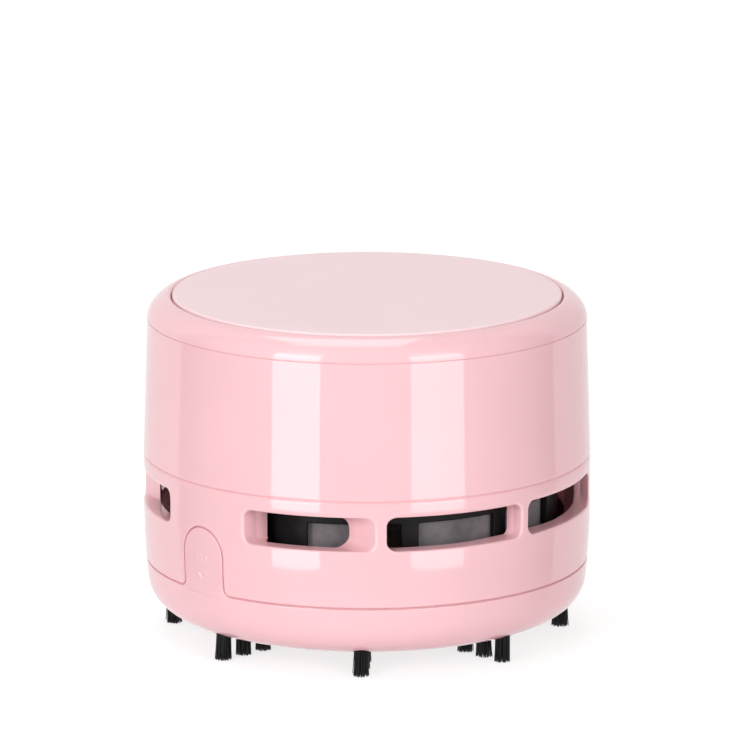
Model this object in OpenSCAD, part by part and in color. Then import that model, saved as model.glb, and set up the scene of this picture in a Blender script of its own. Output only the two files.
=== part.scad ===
// Desktop mini vacuum cleaner: a round body that stands on tufts of bristle, with a dust box that pulls
// off downwards, a battery cover that lifts off the top and a slide switch at the back.
// Millimetres. +Z is up and the origin is on the table, under the middle. The dust box's release tab
// faces -Y. Angles round the body are counted from the tab towards +X.

/* [Body] */
// Diameter of the body at its widest
body_d = 85; // [84:0.5:92]
// Height from the bristle tips to the top disc
body_h = 65; // [64.5:0.5:75]
// Diameter of the upper housing at its top edge, which is smaller by the mould's draft
housing_top_d = 83.3; // [82.6:0.1:84]
// Wall of the outer shells
wall = 2; // [1.6:0.1:2.2]
// Gap seen at the seam between dust box and vent band
dust_seam = 0.3; // [0.2:0.05:0.5]
// Gap seen at the seam between vent band and upper housing
mid_seam = 0.2; // [0.1:0.05:0.4]
// Gap seen at the seam under the top cover
top_seam = 0.1; // [0.05:0.05:0.3]

/* [Top cover] */
// Height of the rounded shoulder
shoulder_h = 4.55; // [4:0.1:5]
// Radius at which the shoulder's curve runs out flat
shoulder_end_r = 36; // [35:0.2:36.6]
// Diameter of the matte disc
disc_d = 74; // [72:0.5:75]
// Thickness of the matte disc
disc_t = 1.6; // [1.2:0.1:2]
// Gap round the matte disc
disc_gap = 0.3; // [0.2:0.05:0.5]
// Thickness of the cover's plate
cover_t = 1.5; // [1.2:0.1:1.8]
// Depth of the skirt that plugs into the housing
skirt_h = 3; // [2:0.5:4]

/* [Dust box] */
// Height of the dust box's outer ring, floor to seam
dust_ring_h = 9.9; // [9.5:0.1:11]
// Radius of the rounded bottom edge
base_round = 7; // [6:0.5:7.5]
// Radius of the body's barrel curve
barrel_r = 149; // [140:1:170]
// Height above the dust box seam where the barrel curve starts
barrel_h = 10.9; // [10:0.1:12]
// Diameter of the suction inlet
inlet_d = 22; // [18:1:26]
// Height of the inlet's collar above the floor
inlet_collar_h = 7.4; // [6:0.2:7.8]
// Wall of the inlet's collar
inlet_collar_t = 1.6; // [1.2:0.1:2]
// Height of the lip that plugs into the vent band
lip_h = 3.3; // [2.5:0.1:4]
// Thickness of that lip
lip_t = 1.4; // [1.2:0.1:1.5]

/* [Release tab] */
// Width of the release tab
tab_w = 10.8; // [9:0.2:12]
// Height of the tab above the dust box seam
tab_h = 12.2; // [11.5:0.1:13]
// Gap round the tab
tab_gap = 0.3; // [0.2:0.05:0.5]
// Radius where the tab's sides run into the ring
tab_foot_r = 1.2; // [0.8:0.1:1.6]
// Width of the raised press mark on the tab
mark_w = 2; // [1.4:0.1:2.6]
// Height of the raised press mark
mark_h = 1.7; // [1.2:0.1:2.2]

/* [Bristles] */
// Length of bristle below the floor
bristle_h = 4.2; // [3.5:0.1:6]
// Radial rows of tufts
tuft_rows = 8; // [6:1:10]
// Tufts in a row
tufts_in_row = 3; // [2:1:3]
// Radius of the outermost tuft
tuft_out_r = 37.4; // [36:0.1:37.6]
// Spacing of the tufts along a row
tuft_pitch = 4.7; // [4:0.1:5]
// Diameter of a tuft where it leaves the floor
tuft_d = 2.9; // [2.6:0.1:3.1]
// Strands in the outer ring of a tuft
tuft_strands = 12; // [9:1:12]
// Width of a strand, point to point
strand_d = 0.4; // [0.3:0.02:0.42]

/* [Vents] */
// Height of the vent band between its two seams
vent_band_h = 20.4; // [20:0.1:22]
// Height of a vent window
vent_h = 6.7; // [5:0.1:7.5]
// Distance from the middle seam down to the windows
vent_drop = 2.95; // [2.6:0.05:3.4]
// Corner radius of a vent window
vent_corner = 1.3; // [0.8:0.1:2]
// Half the width of the plain wall at front and back
vent_side_x = 9.8; // [8.6:0.1:11]
// Distance from the middle to the outer pillars
vent_pillar_y = 27.35; // [25:0.1:29]
// Width of the outer pillars
vent_pillar_w = 1.9; // [1.4:0.1:2.6]
// Width of the middle pillar
vent_mid_w = 1.6; // [1.2:0.1:2.4]
// Depth of the collar round the windows
collar_t = 4.9; // [4.4:0.1:5]

/* [Filter] */
// Gap between the vent collar and the filter cage
cage_gap = 1.1; // [0.8:0.1:1.2]
// Wall of the filter cage
cage_t = 1.3; // [1.1:0.1:1.6]
// Thickness of the filter cloth
cloth_t = 0.45; // [0.3:0.05:0.6]
// Thickness of the seal ring on the cage
seal_t = 0.6; // [0.4:0.1:0.8]

/* [Motor and impeller] */
// Diameter of the motor across its round sides
motor_d = 20.1; // [19:0.1:20.4]
// Width of the motor across its flats
motor_w = 15.1; // [14.4:0.1:15.4]
// Length of the motor's steel can
motor_can_h = 19.8; // [18:0.1:20]
// Length of the motor's end cap
motor_cap_h = 5.3; // [5:0.1:5.5]
// Diameter of the motor shaft
shaft_d = 2; // [1.8:0.1:2.2]
// Diameter of the impeller
impeller_d = 48; // [40:1:52]
// Height of the impeller's blades
blade_h = 8.8; // [6:0.2:9]
// Number of impeller blades
blade_count = 8; // [6:1:12]
// Depth of the motor's well below the deck
motor_well_h = 4.6; // [4.4:0.1:5]
// Thickness of the motor deck
deck_t = 2; // [1.6:0.1:2.2]

/* [Cells] */
// Diameter of an AA cell
cell_d = 14.5; // [14:0.1:14.5]
// Length of an AA cell with its button
cell_l = 50.5; // [49.5:0.1:50.5]
// Distance of each cell's axis from the middle
cell_x = 18; // [18:0.1:18.1]
// Thickness of the battery tray's walls
tray_t = 1.15; // [1:0.05:1.2]
// Length of a compressed contact spring
spring_l = 3.2; // [3:0.1:3.4]
// Turns of a contact spring
spring_turns = 3; // [2:1:3]

/* [Switch] */
// Travel of the power switch
switch_travel = 3; // [2:0.5:3.5]
// Length of the switch knob
knob_l = 9.4; // [9.2:0.1:10]
// Height of the switch knob
knob_h = 5.4; // [4.6:0.1:6]
// Height of the switch above the motor deck
switch_up = 12; // [11.6:0.1:16]

/* [Screws] */
// Diameter of the heads of the housing and tray screws
screw_head_d = 5.2; // [4.8:0.1:5.4]
// Diameter of the shanks of the housing and tray screws
screw_d = 2.5; // [2.2:0.1:2.6]
// Length of the shanks of the housing and tray screws
screw_l = 6; // [5.4:0.2:6.6]

/* [Leads] */
// Diameter of the inside leads
lead_d = 1.2; // [1:0.1:1.4]

/* [Hidden] */
$fn = 96;
SMALL = 32;
CORD_SIDES = 8;
corner_steps = 6;
eps = 0.01;

// clearances
fit = 0.2;          // between a part and the part that it plugs into
slide_gap = 0.4;    // between the dust box's lip or latch and the band it slides out of
run_gap = 0.05;     // round the shaft in its bushes
press_gap = 0.02;   // round the shaft in what is pressed on to it
cell_gap = 0.3;     // round a cell in its trough
screw_gap = 0.05;   // round a screw in the hole it cuts
pass_gap = 0.25;    // round a screw in a hole it passes through
seat_gap = 0.1;     // under the seal

// heights
body_r = body_d / 2;
housing_top_r = housing_top_d / 2;
base_z = bristle_h;
dust_seam_z = base_z + dust_ring_h;
band_bottom_z = dust_seam_z + dust_seam / 2;
ring_top_z = dust_seam_z - dust_seam / 2;
barrel_z = dust_seam_z + barrel_h;
mid_seam_z = dust_seam_z + vent_band_h;
band_top_z = mid_seam_z - mid_seam / 2;
housing_bottom_z = mid_seam_z + mid_seam / 2;
top_seam_z = body_h - shoulder_h;
housing_top_z = top_seam_z - top_seam / 2;
cover_bottom_z = top_seam_z + top_seam / 2;
vent_top_z = mid_seam_z - vent_drop;
vent_bottom_z = vent_top_z - vent_h;
collar_drop = 2.3;  // from the windows down to the collar's lower edge
collar_bottom_z = vent_bottom_z - collar_drop;
collar_r = body_r - collar_t;

// the outside, as radius at a height
function barrel(z) = body_r - pow(max(0, barrel_z - z), 2) / (2 * barrel_r);
round_z = base_z + base_round;
round_r = body_r - barrel_r + sqrt(pow(barrel_r - base_round, 2) - pow(barrel_z - round_z, 2));
round_end = asin((barrel_z - round_z) / (barrel_r - base_round));
// height of the dust box's underside at a radius
function underside(r) = r <= round_r ? base_z : round_z - sqrt(pow(base_round, 2) - pow(r - round_r, 2));
function draft(z) = body_r
    + (housing_top_r - body_r) * (z - housing_bottom_z) / (housing_top_z - housing_bottom_z);
shoulder_power = 1.9;
function shoulder(t) = [
    shoulder_end_r + (housing_top_r - shoulder_end_r) * pow(cos(t), 2 / shoulder_power),
    cover_bottom_z + (body_h - cover_bottom_z) * pow(sin(t), 2 / shoulder_power)];
disc_r = disc_d / 2;
disc_pocket_r = disc_r + disc_gap;
shoulder_stop = acos(pow((disc_pocket_r - shoulder_end_r) / (housing_top_r - shoulder_end_r),
                         shoulder_power / 2));
shoulder_steps = 14;
disc_edge_r = 0.45;
disc_bed = 0.05;
cover_plate_top_z = body_h - disc_t - disc_bed;
cover_plate_z = cover_plate_top_z - cover_t;

// dust box
floor_top_z = base_z + wall;
inner_round_r = base_round - wall;
band_inner_r = barrel(band_bottom_z) - wall;
lip_r = band_inner_r - slide_gap;
ring_inner_r = round_r + inner_round_r;
lip_root_drop = 1.7;
lip_root_z = ring_top_z - lip_root_drop;
lip_root_slope = 0.6;
cage_seat_h = 0.8;
cage_seat_z = floor_top_z + cage_seat_h;
tab_t = 2.4;
tab_inner_r = body_r - tab_t;
tab_top_z = dust_seam_z + tab_h;
latch_wing = 2.6;   // how far the latch reaches past the tab on each side
latch_w = tab_w + 2 * latch_wing;
latch_h = 2.4;
latch_up = 3.8;
latch_z = dust_seam_z + latch_up;
latch_t = 1.6;
mark_up = 3;
mark_z = dust_seam_z + mark_up;
mark_t = 0.25;
crease_drop = 0.6;
crease_z = dust_seam_z - crease_drop;
crease_d = 0.3;

// bristles
plug_t = 0.8;
plug_up = 1.3;
plug_gap = 0.05;
strand_lean = 3;
strand_jitter = 1.4;
strand_ring = tuft_d / 2 - strand_d / 2 - 0.03;
strand_inner_ring = strand_ring * 0.52;
inner_strands = floor(tuft_strands / 2);
tip_cut = 0.5;      // how far the longest strands would reach below the table before they are cut flat

// filter
cage_r = collar_r - cage_gap;
cage_top_z = vent_top_z - seal_t;
cage_wall_a = 26.5;         // half the angle of the flat wall behind the release tab
cage_rim_h = 2.2;
cage_foot_h = 2.5;
cage_window_top_z = cage_top_z - cage_rim_h;
cage_window_bottom_z = cage_seat_z + cage_foot_h;
cage_corner = 0.9;
// first and last angle of each window on one side
cage_windows = [[29, 56.5], [62, 87], [92, 115], [128, 153]];
cage_rear_window = 22;      // half the angle of the rear window
cloth_gap = 0.05;
cloth_r = cage_r - cage_t - cloth_gap;
cloth_margin = 1.5;         // how far the cloth reaches past the windows
cloth_bottom_z = cage_window_bottom_z - cloth_margin;
cloth_top_z = cage_window_top_z + cloth_margin;
// first and last angle of each panel of cloth on one side
cloth_panels = [[28.2, 52.7], [58.5, 89.3], [89.7, 121.3], [121.7, 155.8]];
cloth_rear_panel = 23.8;    // half the angle of the rear panel

// motor deck
deck_bottom_z = cage_top_z + seal_t + seat_gap;
deck_top_z = deck_bottom_z + deck_t;
deck_gap = 0.3;
deck_r = collar_r - deck_gap;
ledge_w = 1.2;
ledge_r = collar_r - ledge_w;
ledge_gap = 0.05;
pad_h = 1.8;
pad_top_z = deck_top_z + pad_h;
pad_wall = 1.3;
pad_r = screw_head_d / 2 + pad_wall;
boss_wall = 1.75;
boss_r = screw_d / 2 + boss_wall;
boss_place_r = ledge_r - pad_r - fit;
boss_h = 5.4;
boss_top_z = pad_top_z + boss_h;
boss_web_t = 2.4;
boss_angles = [0, 90, 180, 270];
head_depth = 1.7;
head_gap = 0.2;
spigot_h = 2.6;
spigot_t = 1.7;
housing_inner_r = body_r - wall;
spigot_r = housing_inner_r - fit;
web_bottom_z = band_top_z + spigot_h + 0.4;

// motor
well_gap = 0.2;
well_wall = 1.6;
seat_z = deck_top_z - motor_well_h;
gasket_t = 0.6;
can_bottom_z = seat_z + gasket_t;
can_top_z = can_bottom_z + motor_can_h;
cap_top_z = can_top_z + motor_cap_h;
can_t = 0.8;
can_face_t = 1;
motor_boss_r = 3.05;
motor_boss_h = 1.8;
shaft_r = shaft_d / 2;
bush_r = shaft_r + 1;
bush_l = 3;
rear_bush_up = 1.5;
rear_bush_z = can_top_z + rear_bush_up;
shaft_top_z = rear_bush_z + bush_l - 0.5;
magnet_r = motor_d / 2 - can_t - 0.05;
magnet_inner_r = motor_w / 2 - can_t + 0.15;
magnet_up = 2.8;
magnet_z = can_bottom_z + magnet_up;
magnet_h = 11;
armature_r = motor_w / 2 - can_t - 0.35;
armature_up = 3.3;
armature_z = can_bottom_z + armature_up;
armature_h = 10;
commutator_r = 2.2;
commutator_z = can_top_z - 4;
commutator_h = 3.6;
terminal_x = 4;
terminal_w = 2;
terminal_t = 0.5;
terminal_up = 2.9;
terminal_z = can_top_z + terminal_up;
terminal_out = 2.6;
terminal_y = motor_d / 2 + terminal_out;
terminal_root_y = 6.8;
clamp_up = 1.2;
clamp_z = deck_top_z + clamp_up;
clamp_t = 2;
clamp_out = 5.45;
clamp_y = motor_d / 2 + clamp_out;
clamp_post_r = 3;
clamp_screw_r = 1;
clamp_head_r = 2;
clamp_head_t = 1.4;
clamp_screw_l = clamp_t + 2;

// impeller
impeller_r = impeller_d / 2;
impeller_plate_t = 1.4;
impeller_gap = 1.4;
impeller_top_z = seat_z - deck_t - impeller_gap;
impeller_plate_z = impeller_top_z - impeller_plate_t;
impeller_bottom_z = impeller_plate_z - blade_h;
hub_r = 4.5;
hub_z = impeller_bottom_z + 1;
shaft_bottom_z = hub_z + 1;
blade_t = 1.2;
blade_in_r = hub_r + 2;
blade_sweep = 42;
blade_steps = 8;
blade_rim = 0.4;

// cells and tray
cell_r = cell_d / 2;
trough_r = cell_r + cell_gap;
cell_cover_gap = 0.95;
cell_z = cover_plate_z - cell_cover_gap - cell_r;
contact_t = 0.4;
bay_half = (cell_l + spring_l + 2 * contact_t) / 2;
tray_end_t = 1.2;
tray_end = bay_half + tray_end_t;
tray_in_x = cell_x - trough_r - tray_t;
tray_out_x = cell_x + trough_r + tray_t;
tray_floor_t = 1.8;
tray_bottom_z = cell_z - trough_r - tray_floor_t;
tray_side_h = 3.4;
tray_top_z = cell_z + tray_side_h;
tray_bridge_t = 2;
tray_bridge_y = clamp_y + clamp_head_r + 0.5;
leg_x = cell_x;
leg_y = 20;
button_r = 2.75;
button_h = 1.2;
contact_w = 10;
contact_low = 5.6;
bridge_up = 5.6;
tail_w = 3;
tail_up = 0.5;
tail_down = 4;
tail_out = tray_end + 0.2;
spring_wire = 0.5;
spring_r = 3;

// switch
switch_z = deck_top_z + switch_up;
switch_pad_w = 22;
switch_pad_h = 10;
flange_w = 21.2;
// the narrowest that the housing gets, inside, over the switch's pad, and the face in there that carries the switch
switch_wall_r = min(draft(switch_z - switch_pad_h / 2), draft(switch_z + switch_pad_h / 2)) - wall;
pad_face_y = sqrt(pow(switch_wall_r, 2) - pow(flange_w / 2, 2));
cut_r = max(body_r, housing_top_r) + 1;    // how far cuts in the outside reach
pocket_floor_y = pad_face_y + 1.85;
knob_off_x = -switch_travel / 2;
knob_back_y = pocket_floor_y + 0.15;
knob_t = 0.75;
knob_ridge = 0.4;
stem_w = 3.8;
stem_h = 3.2;
actuator_w = 2;
actuator_gap = 0.08;
flange_t = 0.5;
switch_h = 5.2;
switch_w = 10.4;
switch_depth = 4.6;
switch_back_y = pad_face_y - seat_gap - flange_t - switch_depth;
actuator_back_y = switch_back_y + 1.4;
pin_l = 1.8;
pin_pitch = 2.5;
pin_w = 0.9;
ear_x = 8.6;
ear_screw_r = 0.8;
ear_screw_l = 1.6;
ear_head_r = 1.6;
ear_head_t = 1.2;

// leads, from their first end to their last, in points chosen by hand
lead_r = lead_d / 2;
lead_red_route = [[-18, 29.2, 55.6], [-18, 30, 55.6], [-18, 30.8, 55.6], [-15, 32.6, 54.2], [-10.5, 33, 50.6],
                  [-6, 31.6, 47.2], [-3, 30, 45.8], [-2.5, 30.4, 45.6], [-2.5, 31.4, 45.6]];
lead_black_route = [[18, 29.2, 55.6], [18, 30, 55.6], [18, 30.8, 55.6], [14, 32, 56.6], [7, 29, 57.8],
                    [0, 23, 57], [-4, 17, 53.4], [-4, 14.6, 52.3], [-4, 13.8, 52.3], [-4, 13, 52.3]];
lead_yellow_route = [[0, 31.4, 45.6], [0, 30.9, 45.6], [0, 30.2, 46.2], [0.6, 29.4, 47.8], [1.8, 26.5, 49.8],
                     [3.2, 21, 51.4], [4, 16, 52.3], [4, 14.6, 52.3], [4, 13.8, 52.3], [4, 13, 52.3]];
lead_steps = 2;

// colours
pink = [0.965, 0.78, 0.81];
matte_pink = [0.92, 0.83, 0.85];
black = [0.1, 0.1, 0.11];
grey = [0.43, 0.41, 0.43];
steel = [0.72, 0.73, 0.75];
brass = [0.8, 0.66, 0.32];

// ---- shared shapes ----

// A rectangle on the origin with round corners
module rounded_rect(w, h, r) {
    polygon([for (corner = [0 : 3], k = [0 : corner_steps])
        let (a = 90 * (corner + k / corner_steps),
             x = corner == 0 || corner == 3 ? 1 : -1,
             y = corner < 2 ? 1 : -1)
        [x * (w / 2 - r) + r * cos(a), y * (h / 2 - r) + r * sin(a)]]);
}

// Puts its children at an angle round the body, counted from the tab
module around(angle, r = 0, z = 0) {
    rotate([0, 0, angle]) translate([0, -r, z]) children();
}

// Draws an outline seen from the front, and carries it from y0 to y1
module along_y(y0, y1) {
    translate([0, y1, 0]) rotate([90, 0, 0]) linear_extrude(y1 - y0) children();
}

// Draws an outline seen from the side, with Y to the right, and carries it from x0 to x1
module along_x(x0, x1) {
    translate([x0, 0, 0]) rotate([90, 0, 90]) linear_extrude(x1 - x0) children();
}

// A ring that stands upright on z
module ring(r_out, r_in, z, h) {
    translate([0, 0, z]) difference() {
        cylinder(h, r = r_out);
        translate([0, 0, -1]) cylinder(h + 2, r = r_in);
    }
}

function unit(v) = v / norm(v);

// Smooth points through a route chosen by hand
function blend_points(a, b, c, d, t) = 0.5 * (2 * b + (c - a) * t + (2 * a - 5 * b + 4 * c - d) * t * t
    + (3 * b - a - 3 * c + d) * t * t * t);
function smooth_route(p, steps) = concat(
    [for (i = [0 : len(p) - 2], k = [0 : steps - 1])
        blend_points(p[max(i - 1, 0)], p[i], p[i + 1], p[min(i + 2, len(p) - 1)], k / steps)],
    [p[len(p) - 1]]);

// A tube of radius r along a route, as one closed skin of triangles
module tube(route, r, sides, up) {
    last = len(route) - 1;
    points = [for (i = [0 : last])
        let (along = unit(route[min(i + 1, last)] - route[max(i - 1, 0)]),
             u = unit(cross(up, along)), v = cross(along, u))
        for (k = [0 : sides - 1]) let (a = 360 * k / sides) route[i] + r * (cos(a) * u + sin(a) * v)];
    skin = [for (i = [0 : last - 1], k = [0 : sides - 1])
        let (a = i * sides + k, b = i * sides + (k + 1) % sides)
        each [[a, a + sides, b], [b, a + sides, b + sides]]];
    start = [for (k = [1 : sides - 2]) [0, k, k + 1]];
    end = [for (k = [1 : sides - 2]) [last * sides, last * sides + k + 1, last * sides + k]];
    polyhedron(points, concat(skin, start, end));
}

// The motor's outline, grown by g
module motor_outline(g = 0) {
    intersection() {
        circle(motor_d / 2 + g);
        square([motor_w + 2 * g, motor_d + 2 * g + 2], center = true);
    }
}

// A pan-head screw, pointing up from its head
module screw(head_r, head_t, r, l) {
    cylinder(head_t, r = head_r, $fn = SMALL);
    translate([0, 0, head_t - eps]) cylinder(l + eps, r = r, $fn = SMALL);
}

// ---- release tab ----

// The dust box's front outline: all that is below the seam, and the arch that stands on it, grown by g
module tab_outline(g = 0) {
    half = tab_w / 2 + g;
    foot = tab_foot_r - g;
    seam = (g > 0 ? band_bottom_z : ring_top_z);
    arch_z = tab_top_z - tab_w / 2;
    foot_z = ring_top_z + tab_foot_r;
    translate([-half, seam - 2]) square([2 * half, arch_z - seam + 2]);
    translate([0, arch_z]) circle(half);
    for (s = [-1, 1]) difference() {
        translate([s * (half + foot / 2), seam - 1 + (foot_z - seam) / 2])
            square([foot + 2 * eps, foot_z - seam + 2], center = true);
        translate([s * (tab_w / 2 + tab_foot_r), foot_z]) circle(foot, $fn = SMALL);
    }
}

// ---- shells ----

module upper_housing() color(pink) difference() {
    union() {
        rotate_extrude() polygon([
            [body_r, housing_bottom_z], [housing_top_r, housing_top_z],
            [housing_top_r - wall, housing_top_z], [housing_inner_r, housing_bottom_z]]);
        for (a = boss_angles) around(a, boss_place_r) {
            translate([0, 0, pad_top_z]) cylinder(boss_top_z - pad_top_z, r = boss_r, $fn = SMALL);
            translate([-boss_web_t / 2, -(draft(boss_top_z) - wall / 2 - boss_place_r), web_bottom_z])
                cube([boss_web_t, draft(boss_top_z) - wall / 2 - boss_place_r, boss_top_z - web_bottom_z]);
        }
        intersection() {
            translate([-switch_pad_w / 2, pad_face_y, switch_z - switch_pad_h / 2])
                cube([switch_pad_w, body_r, switch_pad_h]);
            rotate_extrude() polygon([
                [0, housing_bottom_z], [body_r - wall / 2, housing_bottom_z],
                [housing_top_r - wall / 2, housing_top_z], [0, housing_top_z]]);
        }
    }
    for (a = boss_angles) around(a, boss_place_r, pad_top_z - 1)
        cylinder(screw_l, r = screw_d / 2 + screw_gap, $fn = SMALL);
    along_y(pocket_floor_y, cut_r) translate([0, switch_z])
        rounded_rect(knob_l + switch_travel + 0.8, knob_h + 0.8, 1);
    along_y(pad_face_y - 1, cut_r) translate([0, switch_z])
        square([stem_w + switch_travel + 0.4, stem_h + 0.4], center = true);
    for (s = [-1, 1]) translate([s * ear_x, pad_face_y - 1, switch_z]) rotate([-90, 0, 0])
        cylinder(ear_screw_l + 1, r = ear_screw_r + screw_gap, $fn = SMALL);
}

// One window at the side, between two heights across the body
module side_window(y0, y1) {
    along_x(0, body_r + 2) translate([(y0 + y1) / 2, vent_top_z - vent_h / 2])
        rounded_rect(y1 - y0, vent_h, vent_corner);
}

// One window at a corner, between the plain front wall and the outer pillar
module corner_window() {
    y0 = vent_pillar_y + vent_pillar_w / 2;
    intersection() {
        along_x(0, body_r + 2) translate([y0 + body_r, vent_top_z - vent_h / 2])
            rounded_rect(2 * body_r, vent_h, vent_corner);
        along_y(0, body_r + 2) translate([vent_side_x + body_r, vent_top_z - vent_h / 2])
            rounded_rect(2 * body_r, vent_h, vent_corner);
    }
}

module vent_band() color(pink) {
    barrel_steps = 7;
    difference() {
        rotate_extrude() polygon(concat(
            [for (i = [0 : barrel_steps])
                let (z = band_bottom_z + (barrel_z - band_bottom_z) * i / barrel_steps) [barrel(z), z]],
            [[body_r, band_top_z], [spigot_r, band_top_z], [spigot_r, band_top_z + spigot_h],
             [spigot_r - spigot_t, band_top_z + spigot_h], [spigot_r - spigot_t, band_top_z],
             [ledge_r, band_top_z], [ledge_r, deck_top_z + ledge_gap], [collar_r, deck_top_z + ledge_gap],
             [collar_r, collar_bottom_z], [band_inner_r, collar_bottom_z - 1],
             [band_inner_r, band_bottom_z]]));
        for (x = [0, 1], y = [0, 1]) mirror([x, 0, 0]) mirror([0, y, 0]) {
            side_window(vent_mid_w / 2, vent_pillar_y - vent_pillar_w / 2);
            corner_window();
        }
        difference() {
            along_y(-body_r - 2, -body_r / 2) tab_outline(tab_gap);
            translate([0, 0, collar_bottom_z - 1]) cylinder(vent_band_h, r = tab_inner_r - slide_gap);
        }
    }
}

module top_cover() color(pink) {
    skirt_r = housing_top_r - wall - fit - 0.15;
    skirt_bottom_z = cover_bottom_z - skirt_h;
    skirt_t = 1.5;
    rotate_extrude() polygon(concat(
        [[0, cover_plate_z], [skirt_r - skirt_t, cover_plate_z], [skirt_r - skirt_t, skirt_bottom_z],
         [skirt_r, skirt_bottom_z], [skirt_r, cover_bottom_z]],
        [for (i = [0 : shoulder_steps]) shoulder(shoulder_stop * i / shoulder_steps)],
        [[disc_pocket_r, cover_plate_top_z], [0, cover_plate_top_z]]));
}

module top_disc() color(matte_pink) {
    edge_steps = 4;
    rotate_extrude() polygon(concat(
        [[0, body_h - disc_t], [disc_r, body_h - disc_t]],
        [for (i = [0 : edge_steps]) let (a = 90 * i / edge_steps)
            [disc_r - disc_edge_r * (1 - cos(a)), body_h - disc_edge_r * (1 - sin(a))]],
        [[0, body_h]]));
}

// ---- dust box ----

// Half section of the dust box's floor, ring and lip
module dust_section() {
    round_steps = 10;
    barrel_steps = 3;
    barrel_low_z = round_z - base_round * sin(round_end);
    collar_out_r = inlet_d / 2 + inlet_collar_t;
    polygon(concat(
        [[inlet_d / 2, base_z]],
        [for (i = [0 : round_steps]) let (a = -90 + (90 - round_end) * i / round_steps)
            [round_r + base_round * cos(a), round_z + base_round * sin(a)]],
        [for (i = [1 : barrel_steps])
            let (z = barrel_low_z + (ring_top_z - barrel_low_z) * i / barrel_steps) [barrel(z), z]],
        [[lip_r, ring_top_z],
         [lip_r, ring_top_z + lip_h], [lip_r - lip_t, ring_top_z + lip_h], [lip_r - lip_t, lip_root_z],
         [ring_inner_r, lip_root_z - lip_root_slope]],
        [for (i = [0 : round_steps / 2]) let (a = -70 * i / (round_steps / 2))
            [round_r + inner_round_r * cos(a), round_z + inner_round_r * sin(a)]],
        [[cage_r + 0.3, cage_seat_z], [cloth_r - cloth_t - 0.2, cage_seat_z],
         [cloth_r - cloth_t - 1, floor_top_z], [collar_out_r, floor_top_z],
         [collar_out_r, floor_top_z + inlet_collar_h], [inlet_d / 2, floor_top_z + inlet_collar_h]]));
}

// The arch tab with its latch bar, cut from a ring of the body's own outside
module release_tab() {
    steps = 6;
    intersection() {
        along_y(-body_r - 1, 0) tab_outline();
        rotate_extrude() polygon(concat(
            [for (i = [0 : steps]) let (z = ring_top_z + (barrel_z - ring_top_z) * i / steps) [barrel(z), z]],
            [[body_r, tab_top_z + 1], [tab_inner_r, tab_top_z + 1], [tab_inner_r, ring_top_z]]));
    }
    intersection() {
        along_y(-body_r, 0) translate([0, latch_z]) square([latch_w, latch_h], center = true);
        ring(lip_r - 0.1, lip_r - latch_t, latch_z - latch_h / 2, latch_h);
    }
    intersection() {
        along_y(-body_r, 0) translate([0, latch_z]) square([tab_w - 2, latch_h - 0.4], center = true);
        ring(tab_inner_r + 0.5, lip_r - 0.5, latch_z - latch_h / 2, latch_h);
    }
    intersection() {
        along_y(-body_r - 1, -body_r / 2)
            polygon([[-mark_w / 2, mark_z + mark_h / 2], [mark_w / 2, mark_z + mark_h / 2],
                     [0, mark_z - mark_h / 2]]);
        ring(barrel(mark_z) + mark_t, tab_inner_r + 0.5, mark_z - mark_h, 2 * mark_h);
    }
}

// Puts its children where each tuft leaves the floor, with $tuft as its number
module each_tuft() {
    for (row = [0 : tuft_rows - 1], i = [0 : tufts_in_row - 1]) {
        $tuft = row * tufts_in_row + i;
        $tuft_r = tuft_out_r - i * tuft_pitch;
        around(360 * row / tuft_rows, $tuft_r) children();
    }
}

module dust_box() color(pink) difference() {
    union() {
        rotate_extrude() dust_section();
        release_tab();
    }
    each_tuft() cylinder(underside($tuft_r) + plug_up, r = tuft_d / 2 + plug_gap, $fn = SMALL);
    intersection() {
        along_y(-body_r - 1, -body_r / 2) translate([0, crease_z])
            square([tab_w - 1, crease_d], center = true);
        ring(body_r + 1, barrel(crease_z) - crease_d, crease_z - 1, 2);
    }
}

// One strand: it starts inside the plug and leans out from the tuft's middle
module strand(angle, r, lean, length) {
    rotate([0, 0, angle]) translate([r, 0, 0]) rotate([0, 180 - lean, 0])
        translate([0, 0, -plug_t / 2]) cylinder(length + plug_t / 2, d = strand_d, $fn = 3);
}

// A number from -1 to 1 that looks random but is the same each time
function scatter(i) = sin(i * 137.5 + 40 * sin(i * 71));

// A tuft of strands on the slice of floor that holds it
module tuft() {
    root_z = underside($tuft_r) + plug_up - plug_t;
    translate([0, 0, root_z]) {
        cylinder(plug_t, r = tuft_d / 2, $fn = 12);
        for (k = [0 : tuft_strands - 1]) {
            n = 31 * $tuft + k;
            strand(360 * k / tuft_strands, strand_ring, strand_lean + strand_jitter * scatter(n),
                   root_z + tip_cut * (0.35 + 0.65 * scatter(n + 7)));
        }
        for (k = [0 : inner_strands - 1]) {
            n = 31 * $tuft + tuft_strands + k;
            strand(360 * (k + 0.5) / inner_strands, strand_inner_ring,
                   strand_lean / 2 + strand_jitter / 2 * scatter(n), root_z + tip_cut * scatter(n + 7));
        }
        strand(0, 0, 0, root_z + tip_cut);
    }
}

module bristle_tufts() color(black) difference() {
    each_tuft() tuft();
    translate([-body_r, -body_r, -2]) cube([body_d, body_d, 2]);
}

// ---- filter ----

// Cuts a window with round corners through the cage, between two angles
module cage_window(a0, a1) {
    mid = (a0 + a1) / 2;
    w = 2 * cage_r * sin((a1 - a0) / 2);
    h = cage_window_top_z - cage_window_bottom_z;
    around(mid) along_y(-cage_r - 1, -cage_r * cos((a1 - a0) / 2) + cage_t + 1)
        translate([0, cage_window_bottom_z + h / 2]) rounded_rect(w, h, cage_corner);
}

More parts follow.
